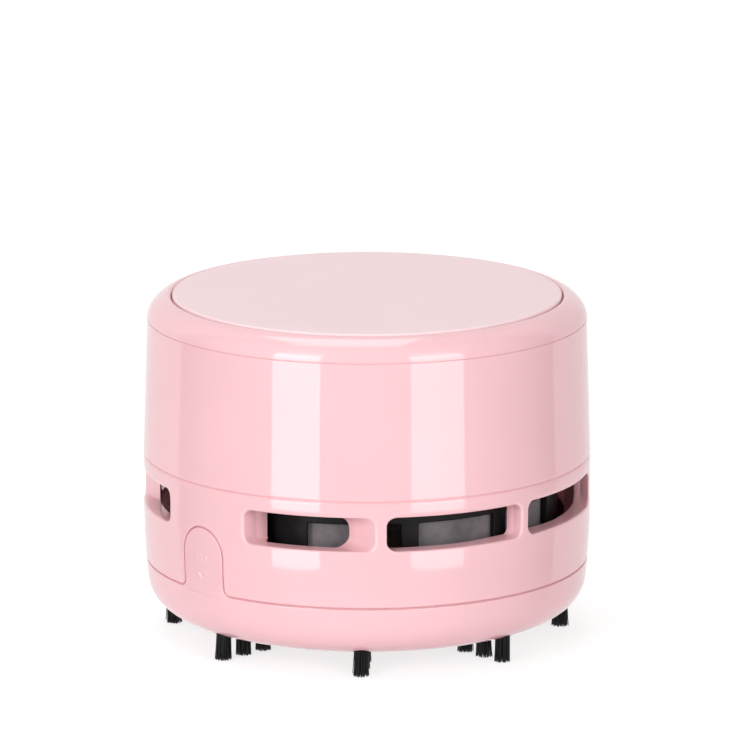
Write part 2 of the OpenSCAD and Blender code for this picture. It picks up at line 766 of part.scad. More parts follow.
module filter_cage() color(black) {
    h = cage_top_z - cage_seat_z;
    chord_y = cage_r * cos(cage_wall_a);
    chord_x = cage_r * sin(cage_wall_a) - cage_t / 4;
    difference() {
        union() {
            difference() {
                ring(cage_r, cage_r - cage_t, cage_seat_z, h);
                translate([-cage_r, -cage_r - 1, cage_seat_z - 1]) cube([2 * cage_r, cage_r + 1 - chord_y, h + 2]);
            }
            translate([-chord_x, -chord_y, cage_seat_z]) cube([2 * chord_x, cage_t, h]);
        }
        for (w = cage_windows) {
            cage_window(w[0], w[1]);
            cage_window(-w[1], -w[0]);
        }
        cage_window(180 - cage_rear_window, 180 + cage_rear_window);
    }
}

// A strip of cloth round the inside of the cage, between two angles
module cloth_panel(a0, a1) {
    rotate([0, 0, a0 - 90]) rotate_extrude(angle = a1 - a0)
        translate([cloth_r - cloth_t, cloth_bottom_z]) square([cloth_t, cloth_top_z - cloth_bottom_z]);
}

module filter_cloth() color(grey) {
    for (p = cloth_panels) {
        cloth_panel(p[0], p[1]);
        cloth_panel(-p[1], -p[0]);
    }
    cloth_panel(180 - cloth_rear_panel, 180 + cloth_rear_panel);
}

module seal_ring() color(black) {
    ring(cage_r, cage_r - cage_t + 0.1, cage_top_z, seal_t);
}

// ---- motor ----

module motor_deck() color(pink) difference() {
    union() {
        translate([0, 0, deck_bottom_z]) cylinder(deck_t, r = deck_r);
        for (a = boss_angles) around(a, boss_place_r, deck_bottom_z)
            cylinder(deck_t + pad_h, r = pad_r, $fn = SMALL);
        for (x = [-1, 1], y = [-1, 1]) translate([x * leg_x, y * leg_y, deck_bottom_z])
            cylinder(deck_t + pad_h, r = pad_r, $fn = SMALL);
        for (s = [-1, 1]) translate([0, s * clamp_y, deck_bottom_z])
            cylinder(clamp_z - deck_bottom_z, r = clamp_post_r, $fn = SMALL);
        translate([0, 0, seat_z - deck_t]) linear_extrude(motor_well_h) motor_outline(well_gap + well_wall);
    }
    translate([0, 0, seat_z]) linear_extrude(motor_well_h + 1) motor_outline(well_gap);
    translate([0, 0, seat_z - deck_t - 1]) cylinder(deck_t + 2, r = motor_boss_r + 0.1);
    for (a = boss_angles) around(a, boss_place_r) screw_seat();
    for (x = [-1, 1], y = [-1, 1]) translate([x * leg_x, y * leg_y, 0]) screw_seat();
    for (s = [-1, 1]) translate([0, s * clamp_y, deck_bottom_z + 0.8])
        cylinder(clamp_z, r = clamp_screw_r + screw_gap, $fn = SMALL);
}

// The sunk seat of a screw that comes up through the deck
module screw_seat() {
    translate([0, 0, deck_bottom_z - 1])
        cylinder(head_depth + 1, r = screw_head_d / 2 + head_gap, $fn = SMALL);
    translate([0, 0, deck_bottom_z]) cylinder(deck_t + pad_h + 1, r = screw_d / 2 + pass_gap, $fn = SMALL);
}

module deck_screw() {
    translate([0, 0, deck_bottom_z + 0.1]) screw(screw_head_d / 2, head_depth - 0.1, screw_d / 2, screw_l);
}

module housing_screws() color(steel) for (a = boss_angles) around(a, boss_place_r) deck_screw();

module tray_screws() color(steel)
    for (x = [-1, 1], y = [-1, 1]) translate([x * leg_x, y * leg_y, 0]) deck_screw();

module motor_can() color(steel) difference() {
    union() {
        translate([0, 0, can_bottom_z]) linear_extrude(motor_can_h) motor_outline();
        translate([0, 0, can_bottom_z - motor_boss_h]) cylinder(motor_boss_h + 1, r = motor_boss_r);
    }
    translate([0, 0, can_bottom_z + can_face_t]) linear_extrude(motor_can_h) motor_outline(-can_t);
    translate([0, 0, can_bottom_z - motor_boss_h - 1])
        cylinder(motor_boss_h + 3, r = bush_r + press_gap, $fn = SMALL);
}

module motor_end_cap() color("white") difference() {
    translate([0, 0, can_top_z]) linear_extrude(motor_cap_h) motor_outline(-0.1);
    translate([0, 0, can_top_z - 1]) linear_extrude(rear_bush_z - can_top_z + 1) motor_outline(-1.2);
    translate([0, 0, can_top_z]) cylinder(rear_bush_z + bush_l - can_top_z, r = bush_r + press_gap, $fn = SMALL);
    for (s = [-1, 1]) translate([s * terminal_x, terminal_y / 2 + 3.5, terminal_z])
        cube([terminal_w + 0.1, terminal_y + 0.1, terminal_t + 0.1], center = true);
}

module motor_bushes() color(brass) {
    ring_bush(can_bottom_z - motor_boss_h);
    ring_bush(rear_bush_z);
}

module ring_bush(z) {
    translate([0, 0, z]) difference() {
        cylinder(bush_l, r = bush_r, $fn = SMALL);
        translate([0, 0, -1]) cylinder(bush_l + 2, r = shaft_r + run_gap, $fn = SMALL);
    }
}

module motor_magnets() color([0.25, 0.24, 0.24]) translate([0, 0, magnet_z]) linear_extrude(magnet_h)
    intersection() {
        difference() {
            circle(magnet_r);
            circle(magnet_inner_r);
        }
        for (s = [-1, 1]) translate([0, s * motor_d / 2])
            square([motor_w - 2 * can_t - 2, motor_d - 6], center = true);
    }

module motor_terminals() color(brass) for (s = [-1, 1])
    translate([s * terminal_x - terminal_w / 2, terminal_root_y, terminal_z - terminal_t / 2])
        cube([terminal_w, terminal_y - terminal_root_y, terminal_t]);

module motor_gasket() color(black) translate([0, 0, seat_z]) linear_extrude(gasket_t) difference() {
    motor_outline();
    circle(motor_boss_r + 0.1);
}

module motor_clamp() color(black) translate([0, 0, clamp_z]) linear_extrude(clamp_t) difference() {
    union() {
        square([motor_w + 5, motor_d + 4], center = true);
        for (s = [-1, 1]) {
            translate([0, s * clamp_y]) circle(clamp_post_r + 0.6, $fn = SMALL);
            translate([0, s * clamp_y / 2]) square([2 * clamp_post_r, clamp_y], center = true);
        }
    }
    motor_outline(0.15);
    for (s = [-1, 1]) translate([0, s * clamp_y]) circle(clamp_screw_r + pass_gap, $fn = SMALL);
}

module clamp_screws() color(steel) for (s = [-1, 1])
    translate([0, s * clamp_y, clamp_z + clamp_t + clamp_head_t]) mirror([0, 0, 1])
        screw(clamp_head_r, clamp_head_t, clamp_screw_r, clamp_screw_l);

module motor_shaft() color(steel)
    translate([0, 0, shaft_bottom_z]) cylinder(shaft_top_z - shaft_bottom_z, r = shaft_r, $fn = SMALL);

module armature() color([0.55, 0.3, 0.15]) difference() {
    union() {
        translate([0, 0, armature_z]) linear_extrude(armature_h) difference() {
            circle(armature_r);
            for (a = [60, 180, 300]) rotate([0, 0, a]) {
                translate([armature_r - 2.4, 0]) square([5.4, 1.2], center = true);
                translate([armature_r - 3, 0]) circle(1.3, $fn = SMALL);
            }
        }
        translate([0, 0, armature_z]) cylinder(commutator_z - armature_z, r = shaft_r + 0.8, $fn = SMALL);
        translate([0, 0, commutator_z]) cylinder(commutator_h, r = commutator_r, $fn = SMALL);
    }
    translate([0, 0, armature_z - 1])
        cylinder(commutator_z + commutator_h, r = shaft_r + press_gap, $fn = SMALL);
}

// One swept-back blade, as an outline seen from above
module blade() {
    tip_r = impeller_r - blade_rim;
    function edge(t, side) = let (
        r = blade_in_r + (tip_r - blade_in_r) * t,
        a = blade_sweep * t + side * asin(blade_t / 2 / r)) [r * cos(a), r * sin(a)];
    polygon(concat([for (i = [0 : blade_steps]) edge(i / blade_steps, -1)],
                   [for (i = [blade_steps : -1 : 0]) edge(i / blade_steps, 1)]));
}

module impeller() color("white") difference() {
    union() {
        translate([0, 0, impeller_plate_z]) cylinder(impeller_plate_t, r = impeller_r);
        translate([0, 0, hub_z]) cylinder(impeller_top_z - hub_z, r = hub_r, $fn = SMALL);
        translate([0, 0, impeller_bottom_z]) linear_extrude(blade_h + eps)
            for (i = [0 : blade_count - 1]) rotate([0, 0, 360 * i / blade_count]) blade();
    }
    translate([0, 0, shaft_bottom_z - 0.1])
        cylinder(impeller_top_z, r = shaft_r + press_gap, $fn = SMALL);
}

// ---- cells ----

module battery_tray() color(black) difference() {
    union() {
        for (s = [-1, 1]) {
            translate([s > 0 ? tray_in_x : -tray_out_x, -tray_end, tray_bottom_z])
                cube([tray_out_x - tray_in_x, 2 * tray_end, tray_top_z - tray_bottom_z]);
            translate([-tray_out_x, s > 0 ? tray_bridge_y : -tray_end, tray_bottom_z])
                cube([2 * tray_out_x, tray_end - tray_bridge_y, tray_bridge_t]);
        }
        for (x = [-1, 1], y = [-1, 1]) translate([x * leg_x, y * leg_y, pad_top_z])
            cylinder(tray_bottom_z + 1 - pad_top_z, r = boss_r, $fn = SMALL);
    }
    for (s = [-1, 1]) translate([s * cell_x, 0, cell_z]) {
        rotate([90, 0, 0]) cylinder(2 * bay_half, r = trough_r, center = true);
        translate([-trough_r, -bay_half, 0]) cube([2 * trough_r, 2 * bay_half, cell_d]);
    }
    for (x = [-1, 1], y = [-1, 1]) translate([x * leg_x, y * leg_y, pad_top_z - 1])
        cylinder(screw_l - 0.6, r = screw_d / 2 + screw_gap, $fn = SMALL);
}

// A cell on the X axis's given side, with its button towards +Y or -Y
module cell(side, button_to) {
    front = button_to * (bay_half - contact_t);
    translate([side * cell_x, front, cell_z]) rotate([button_to * 90, 0, 0]) {
        translate([0, 0, button_h]) cylinder(cell_l - button_h, r = cell_r);
        cylinder(button_h + eps, r = button_r, $fn = SMALL);
    }
}

module battery_left() color([0.2, 0.45, 0.3]) cell(-1, 1);

module battery_right() color([0.2, 0.45, 0.3]) cell(1, -1);

module bridge_contact() color(steel) {
    bar_z = tray_top_z + 0.2;
    for (s = [-1, 1]) translate([s * cell_x - contact_w / 2, -bay_half, cell_z - contact_low])
        cube([contact_w, contact_t, bar_z + 0.2 - cell_z + contact_low]);
    translate([-cell_x, -bay_half, bar_z]) cube([2 * cell_x, contact_t, cell_z + bridge_up - bar_z]);
}

module rear_contacts() color(steel) for (s = [-1, 1]) translate([s * cell_x, 0, 0]) {
    translate([-contact_w / 2, bay_half - contact_t, cell_z - contact_low])
        cube([contact_w, contact_t, tray_top_z + tail_up - cell_z + contact_low]);
    translate([-tail_w / 2, bay_half - contact_t, tray_top_z + 0.1])
        cube([tail_w, tail_out - bay_half + 2 * contact_t, contact_t]);
    translate([-tail_w / 2, tail_out, tray_top_z + 0.1 + contact_t - tail_down])
        cube([tail_w, contact_t, tail_down]);
}

// Points of one contact spring, from one end of it to the other along Y
function spring_points(x, y0) = [for (i = [0 : 12 * spring_turns])
    let (a = 30 * i) [x + spring_r * cos(a),
                      y0 + spring_wire / 2 + 0.05 + (spring_l - spring_wire - 0.1) * i / (12 * spring_turns),
                      cell_z + spring_r * sin(a)]];
echo(least_gap_between_spring_turns = (spring_l - spring_wire - 0.1) / spring_turns - spring_wire);

module contact_springs() color(steel) {
    tube(spring_points(-cell_x, -bay_half + contact_t), spring_wire / 2, 6, [0, 1, 0]);
    tube(spring_points(cell_x, bay_half - contact_t - spring_l), spring_wire / 2, 6, [0, 1, 0]);
}

// ---- switch ----

module switch_body() color(steel) difference() {
    union() {
        translate([-switch_w / 2, switch_back_y, switch_z - switch_h / 2])
            cube([switch_w, switch_depth + eps, switch_h]);
        translate([-flange_w / 2, switch_back_y + switch_depth, switch_z - switch_h / 2])
            cube([flange_w, flange_t, switch_h]);
        for (i = [-1 : 1]) translate([i * pin_pitch - pin_w / 2, switch_back_y - pin_l, switch_z - 0.2])
            cube([pin_w, pin_l + eps, 0.4]);
    }
    translate([0, switch_back_y + 1.2 + switch_depth / 2, switch_z])
        cube([actuator_w + switch_travel + 0.3, switch_depth + 2 * flange_t, actuator_w + 0.2], center = true);
    for (s = [-1, 1]) translate([s * ear_x, switch_back_y, switch_z]) rotate([-90, 0, 0])
        cylinder(switch_depth + 2, r = ear_screw_r + 0.2, $fn = SMALL);
}

module switch_actuator() color(black)
    translate([knob_off_x - actuator_w / 2, actuator_back_y, switch_z - actuator_w / 2])
        cube([actuator_w, knob_back_y - 0.6 - actuator_back_y, actuator_w]);

module switch_knob() color(matte_pink) translate([knob_off_x, 0, switch_z]) {
    stem_y = pad_face_y + 0.4;
    difference() {
        union() {
            along_y(stem_y, knob_back_y + eps) square([stem_w, stem_h], center = true);
            along_y(knob_back_y, knob_back_y + knob_t) rounded_rect(knob_l, knob_h, 0.8);
        }
        along_y(stem_y - 1, knob_back_y - 0.5)
            square([actuator_w + 2 * actuator_gap, actuator_w + 2 * actuator_gap], center = true);
    }
    for (i = [-1 : 1]) along_y(knob_back_y + knob_t - eps, knob_back_y + knob_t + knob_ridge)
        translate([i * 2, 0]) square([0.7, knob_h - 1.6], center = true);
}

module switch_screws() color(steel) for (s = [-1, 1])
    translate([s * ear_x, switch_back_y + switch_depth - ear_head_t, switch_z]) rotate([-90, 0, 0])
        screw(ear_head_r, ear_head_t, ear_screw_r, ear_screw_l + flange_t);

// ---- leads ----

module lead(route) {
    tube(smooth_route(route, lead_steps), lead_r, CORD_SIDES, [0.1, 0.2, 1]);
}

module lead_red() color("firebrick") lead(lead_red_route);

module lead_black() color(black) lead(lead_black_route);

module lead_yellow() color("gold") lead(lead_yellow_route);

upper_housing();
vent_band();
motor_deck();
top_cover();
top_disc();
dust_box();
filter_cage();
filter_cloth();
seal_ring();
bristle_tufts();
motor_can();
motor_end_cap();
motor_bushes();
motor_magnets();
motor_terminals();
motor_gasket();
motor_clamp();
clamp_screws();
motor_shaft();
armature();
impeller();
battery_tray();
battery_left();
battery_right();
bridge_contact();
rear_contacts();
contact_springs();
switch_body();
switch_actuator();
switch_knob();
switch_screws();
lead_red();
lead_black();
lead_yellow();
housing_screws();
tray_screws();
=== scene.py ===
"""Looks of the desktop mini vacuum cleaner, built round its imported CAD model.

Lengths are in millimetres until a mesh is made, and the frame is the CAD's: +Z up, origin on the table.
Angles round the body, called phi, are counted from the release tab at -Y towards +X.
"""

import math
import random

import bpy
import numpy as np
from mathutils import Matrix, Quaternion, Vector, geometry


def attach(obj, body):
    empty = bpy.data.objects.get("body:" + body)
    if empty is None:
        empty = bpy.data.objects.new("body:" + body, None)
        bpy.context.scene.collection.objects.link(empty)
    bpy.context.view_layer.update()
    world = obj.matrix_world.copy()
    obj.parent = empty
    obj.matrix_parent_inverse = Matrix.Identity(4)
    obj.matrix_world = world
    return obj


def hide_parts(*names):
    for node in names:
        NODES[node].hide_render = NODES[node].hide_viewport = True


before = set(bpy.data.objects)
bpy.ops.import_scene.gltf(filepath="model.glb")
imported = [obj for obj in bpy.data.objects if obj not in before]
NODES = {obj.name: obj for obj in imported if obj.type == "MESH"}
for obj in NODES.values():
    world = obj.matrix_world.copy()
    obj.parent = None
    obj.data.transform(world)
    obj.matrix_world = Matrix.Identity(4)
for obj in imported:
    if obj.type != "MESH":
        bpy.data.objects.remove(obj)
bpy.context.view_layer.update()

MM = 0.001
TAU = 2 * math.pi


def link(ob):
    bpy.context.scene.collection.objects.link(ob)
    return ob


# ---------------------------------------------------------------------------- camera

CAM_AZIMUTH = math.radians(46.6)
CAM_ELEVATION = math.radians(12.94)
CAM_DISTANCE = 1.241
CAM_TARGET = Vector((0, 0, 0.050))
CAM_LENS = 318.2
CAM_SHIFT_X = 0.004


def towards(azimuth, elevation):
    """The direction from the object to a place at that azimuth and elevation, in radians."""
    return Vector((math.sin(azimuth) * math.cos(elevation),
                   -math.cos(azimuth) * math.cos(elevation),
                   math.sin(elevation)))


def looking(back):
    """The turn of a camera or a lamp that looks back from that direction."""
    return (-back).to_track_quat("-Z", "Y")


def make_camera():
    data = bpy.data.cameras.new("camera")
    data.lens = CAM_LENS
    data.sensor_width = 36
    data.shift_x = CAM_SHIFT_X
    data.clip_start, data.clip_end = 0.05, 20
    camera = link(bpy.data.objects.new("camera", data))
    back = towards(CAM_AZIMUTH, CAM_ELEVATION)
    camera.location = CAM_TARGET + back * CAM_DISTANCE
    camera.rotation_mode = "QUATERNION"
    camera.rotation_quaternion = looking(back)
    bpy.context.scene.camera = camera


make_camera()

# ---------------------------------------------------------------------------- sizes in mm, most of them the CAD's

BODY_R = 42.5
BARREL_Z, BARREL_CURVE = 25.0, 298.0
BASE_Z, BASE_ROUND = 4.2, 7.0
ROUND_R, ROUND_Z = 34.83, 11.2
ROUND_END = math.radians(5.58)
RING_TOP_Z, BAND_BOTTOM_Z = 13.95, 14.25
BAND_TOP_Z, HOUSING_BOTTOM_Z = 34.4, 34.6
HOUSING_TOP_Z, HOUSING_TOP_R = 60.4, 41.65
COVER_BOTTOM_Z, BODY_TOP_Z = 60.5, 65.0
SHOULDER_END_R, SHOULDER_POWER = 36.0, 1.9
SKIRT_R, SKIRT_IN_R, SKIRT_Z = 39.3, 37.8, 57.5
DISC_R, DISC_POCKET_R, DISC_T = 36.85, 37.1, 1.6
COVER_PLATE_TOP_Z, COVER_PLATE_Z = 63.35, 61.85
WALL_T, INTO_WALL_R = 2.0, 41.0
BOSS_PLACE_R, BOSS_R, BOSS_HOLE_R, BOSS_Z, BOSS_TOP_Z = 32.3, 3.0, 1.3, 35.45, 40.85
VENT_TOP_Z, VENT_BOTTOM_Z = 31.55, 25.1
COLLAR_R, COLLAR_BOTTOM_Z = 37.6, 22.55
BAND_INNER_R = 40.11
LEDGE_R, LEDGE_Z = 36.4, 33.70
SPIGOT_R, SPIGOT_IN_R, SPIGOT_TOP_Z = 40.3, 38.6, 37.0
TAB_HALF, TAB_ARCH_Z, TAB_GAP, TAB_FOOT = 5.15, 21.15, 0.3, 1.6
TAB_INNER_R, NOTCH_R = 40.1, 39.7
RING_IN_R, LIP_IN_R, LIP_TOP_Z = 39.71, 38.31, 17.25
FLOOR_TOP_Z = 6.2
INLET_R, INLET_OUT_R, INLET_TOP_Z = 11.0, 12.6, 13.6
SWITCH_Z, POCKET_Y, PAD_Y = 45.65, 40.39, 38.54
# half width, half height, corner radius and how far apart the points are
SWITCH_POCKET, SWITCH_SLOT, SWITCH_PAD = (6.6, 3.1, 1.0, 0.4), (3.6, 1.8, 0.3, 0.5), (11.0, 5.0, 0.3, 1.2)
# x, y and radius of each bristle tuft
TUFTS = [(r * math.sin(row * TAU / 8), -r * math.cos(row * TAU / 8), r)
         for row in range(8) for r in (36.95, 31.95, 27.1)]

SEGMENTS = 256
ROUND_PHI = -math.pi + np.arange(SEGMENTS + 1) * TAU / SEGMENTS
ROUND_U = ROUND_PHI * BODY_R


def barrel(z):
    """Radius of the outside below the middle seam."""
    return BODY_R - np.maximum(0.0, BARREL_Z - z) ** 2 / BARREL_CURVE


def draft(z):
    """Radius of the outside of the upper housing."""
    return BODY_R + (HOUSING_TOP_R - BODY_R) * (z - HOUSING_BOTTOM_Z) / (HOUSING_TOP_Z - HOUSING_BOTTOM_Z)


def slope_of(radius, z, step=0.01):
    return (radius(z + step) - radius(z - step)) / (2 * step)


def underside(r):
    """Height of the dust box's underside at a radius."""
    return np.where(r <= ROUND_R, BASE_Z, ROUND_Z - np.sqrt(BASE_ROUND ** 2 - np.maximum(r - ROUND_R, 0.0) ** 2))


def smooth(t):
    t = np.clip(t, 0, 1)
    return t * t * (3 - 2 * t)


def ramp(x, x0, x1):
    """Rises smoothly from 0 at x0 to 1 at x1."""
    return smooth((x - x0) / (x1 - x0))


def unit(v):
    return v / np.maximum(np.linalg.norm(v, axis=-1, keepdims=True), 1e-12)


def every(step, first, last):
    """Angles in radians: first to last - 1 steps of that many degrees."""
    return [math.radians(step * k) for k in range(first, last)]


def circle(count=SEGMENTS):
    return np.arange(count) * TAU / count


def quarter(r, z, in_r, in_z, angles):
    """Points of a rounded edge, from the sharp corner (r, z) and how far it reaches along both sides."""
    return [(r + in_r * (1 - math.cos(a)), z + in_z * (1 - math.sin(a))) for a in angles]


# ---------------------------------------------------------------------------- points, normals and outlines


def at_radius(phi, z, r):
    """Points at those angles, heights and radii."""
    return np.stack([r * np.sin(phi), -r * np.cos(phi), z + 0.0 * phi], -1)


def radial(phi, slope=0.0, sign=1.0):
    """Normals of a turned surface, whose radius grows by slope for each millimetre up."""
    k = sign / np.sqrt(1 + slope ** 2)
    return at_radius(phi, -k * slope, k)


def uz(phi, z):
    """Places in the domain of the body's outside."""
    return np.stack([phi * BODY_R, z], -1)


def level(us, z):
    return np.stack([us, np.full_like(us, z)], -1)


def upright(flat, y=0.0, z=0.0):
    """Points in a plane across Y, from places (x, height)."""
    return np.stack([flat[:, 0], np.full(len(flat), y), flat[:, 1] + z], -1)


def turned(radius, sign=1.0):
    """place() for a turned surface, whose domain is (phi * BODY_R, z)."""
    def place(u, z):
        phi = u / BODY_R
        return at_radius(phi, z, radius(z)), radial(phi, slope_of(radius, z), sign)
    return place


def shaped(at, step, flip=False):
    """place() for any surface at(u, v), with the normals of its own shape."""
    def place(u, v):
        du, dv = at(u + step, v) - at(u - step, v), at(u, v + step) - at(u, v - step)
        return at(u, v), np.cross(dv, du) if flip else np.cross(du, dv)
    return place


def embossed(relief):
    """place() for the barrel with a shallow relief on it."""
    return shaped(lambda u, z: at_radius(u / BODY_R, z, barrel(z) + relief(u, z)), 0.004)


def rear_face(y, sign):
    """place() for a flat face across Y, behind the switch."""
    return lambda u, v: (upright(np.stack([u, v], -1), y, SWITCH_Z), (0.0, sign, 0.0))


def rounded(corners, steps=5):
    """A half section with its corners rounded: (r, z, radius) for each corner, and r, z for each point of the
    result."""
    out = []
    for i, (r, z, radius) in enumerate(corners):
        here = np.array([r, z])
        if radius <= 0:
            out.append((r, z))
            continue
        a = np.array(corners[i - 1][:2]) - here
        b = np.array(corners[(i + 1) % len(corners)][:2]) - here
        la, lb = np.linalg.norm(a), np.linalg.norm(b)
        a, b = a / la, b / lb
        half = math.acos(max(-1, min(1, a @ b))) / 2
        cut = min(radius / math.tan(half), 0.49 * la, 0.49 * lb)
        bow = cut * math.tan(half)
        centre = here + unit(a + b) * bow / math.sin(half)
        p0, p1 = here + a * cut - centre, here + b * cut - centre
        a0 = math.atan2(p0[1], p0[0])
        turn = (math.atan2(p1[1], p1[0]) - a0 + math.pi) % TAU - math.pi
        out += [(centre[0] + bow * math.cos(t), centre[1] + bow * math.sin(t))
                for t in (a0 + turn * k / steps for k in range(steps + 1))]
    return out


def corner_loop(half_w, half_h, radii, arc=9, across=44, up=8):
    """A rectangle with its own radius at each corner, about (0, 0), run anticlockwise from the corner at +x, +y:
    points, and at each the direction outwards. arc, across and up are the counts of steps, whatever its size."""
    points, out = [], []
    signs = [(1, 1), (-1, 1), (-1, -1), (1, -1)]
    for k, (sx, sy) in enumerate(signs):
        radius = radii[k]
        cx, cy = sx * (half_w - radius), sy * (half_h - radius)
        for a in every(90 / arc, k * arc, (k + 1) * arc + 1):
            points.append((cx + radius * math.cos(a), cy + radius * math.sin(a)))
            out.append((math.cos(a), math.sin(a)))
        nx, ny = signs[(k + 1) % 4]
        radius = radii[(k + 1) % 4]
        here = np.array(points[-1])
        there = np.array([nx * (half_w - radius), ny * (half_h - radius)]) + radius * np.array(out[-1])
        count = up if k % 2 else across
        points += [tuple(here + (there - here) * i / count) for i in range(1, count)]
        out += [out[-1]] * (count - 1)
    return np.array(points), np.array(out)


def rounded_loop(half_w, half_h, corner, spacing):
    """The same with one radius, and points about that far apart."""
    across, up = (max(1, int(2 * (half - corner) / spacing)) for half in (half_w, half_h))
    return corner_loop(half_w, half_h, [corner] * 4, max(6, int(corner * math.pi / 2 / spacing * 2.2)), across, up)


def between(bottom, top, up):
    """The loop round the region between two lines that run towards +u. up are the heights of its ends' points."""
    right, left = (np.stack([np.full(len(up), bottom[end, 0]), up], -1) for end in (-1, 0))
    return np.vstack([bottom, right, top[::-1], left[::-1]])


def lattice(u0, u1, v0, v1, du, dv):
    """Seed points in staggered rows."""
    return np.vstack([level(np.arange(u0 + (du / 2 if i % 2 else 0), u1, du), v)
                      for i, v in enumerate(np.arange(v0, v1 + 1e-9, dv))])


def ring_seeds(us, heights, odd=1):
    """Seed points between the segments' ends, with the odd rows, or the even ones, half a segment on."""
    step = TAU * BODY_R / SEGMENTS
    return np.vstack([level(us[1:-1] + (step / 2 if i % 2 == odd else 0), z) for i, z in enumerate(heights)])


def odd_inside(points, loops):
    """Which points lie inside an odd number of the closed loops."""
    inside = np.zeros(len(points), bool)
    x, y = points[:, 0][:, None], points[:, 1][:, None]
    for loop in loops:
        (x0, y0), (x1, y1) = loop.T, np.roll(loop, -1, axis=0).T
        rise = np.where(np.abs(y1 - y0) < 1e-12, 1e-12, y1 - y0)
        crosses = ((y0 > y) != (y1 > y)) & (x < (x1 - x0) * (y - y0) / rise + x0)
        inside ^= crosses.sum(1) % 2 == 1
    return inside


def clear_seeds(seeds, loops, keep_off):
    """The seeds that lie inside the loops and more than keep_off from them."""
    seeds = seeds[odd_inside(seeds, loops)]
    for loop in loops:
        seeds = seeds[np.linalg.norm(seeds[:, None] - loop, axis=2).min(1) > keep_off]
    return seeds


# ---------------------------------------------------------------------------- mesh building

WELD = 1e4                      # points that agree to a ten-thousandth of a millimetre are one point
CREASE = math.cos(math.radians(28))


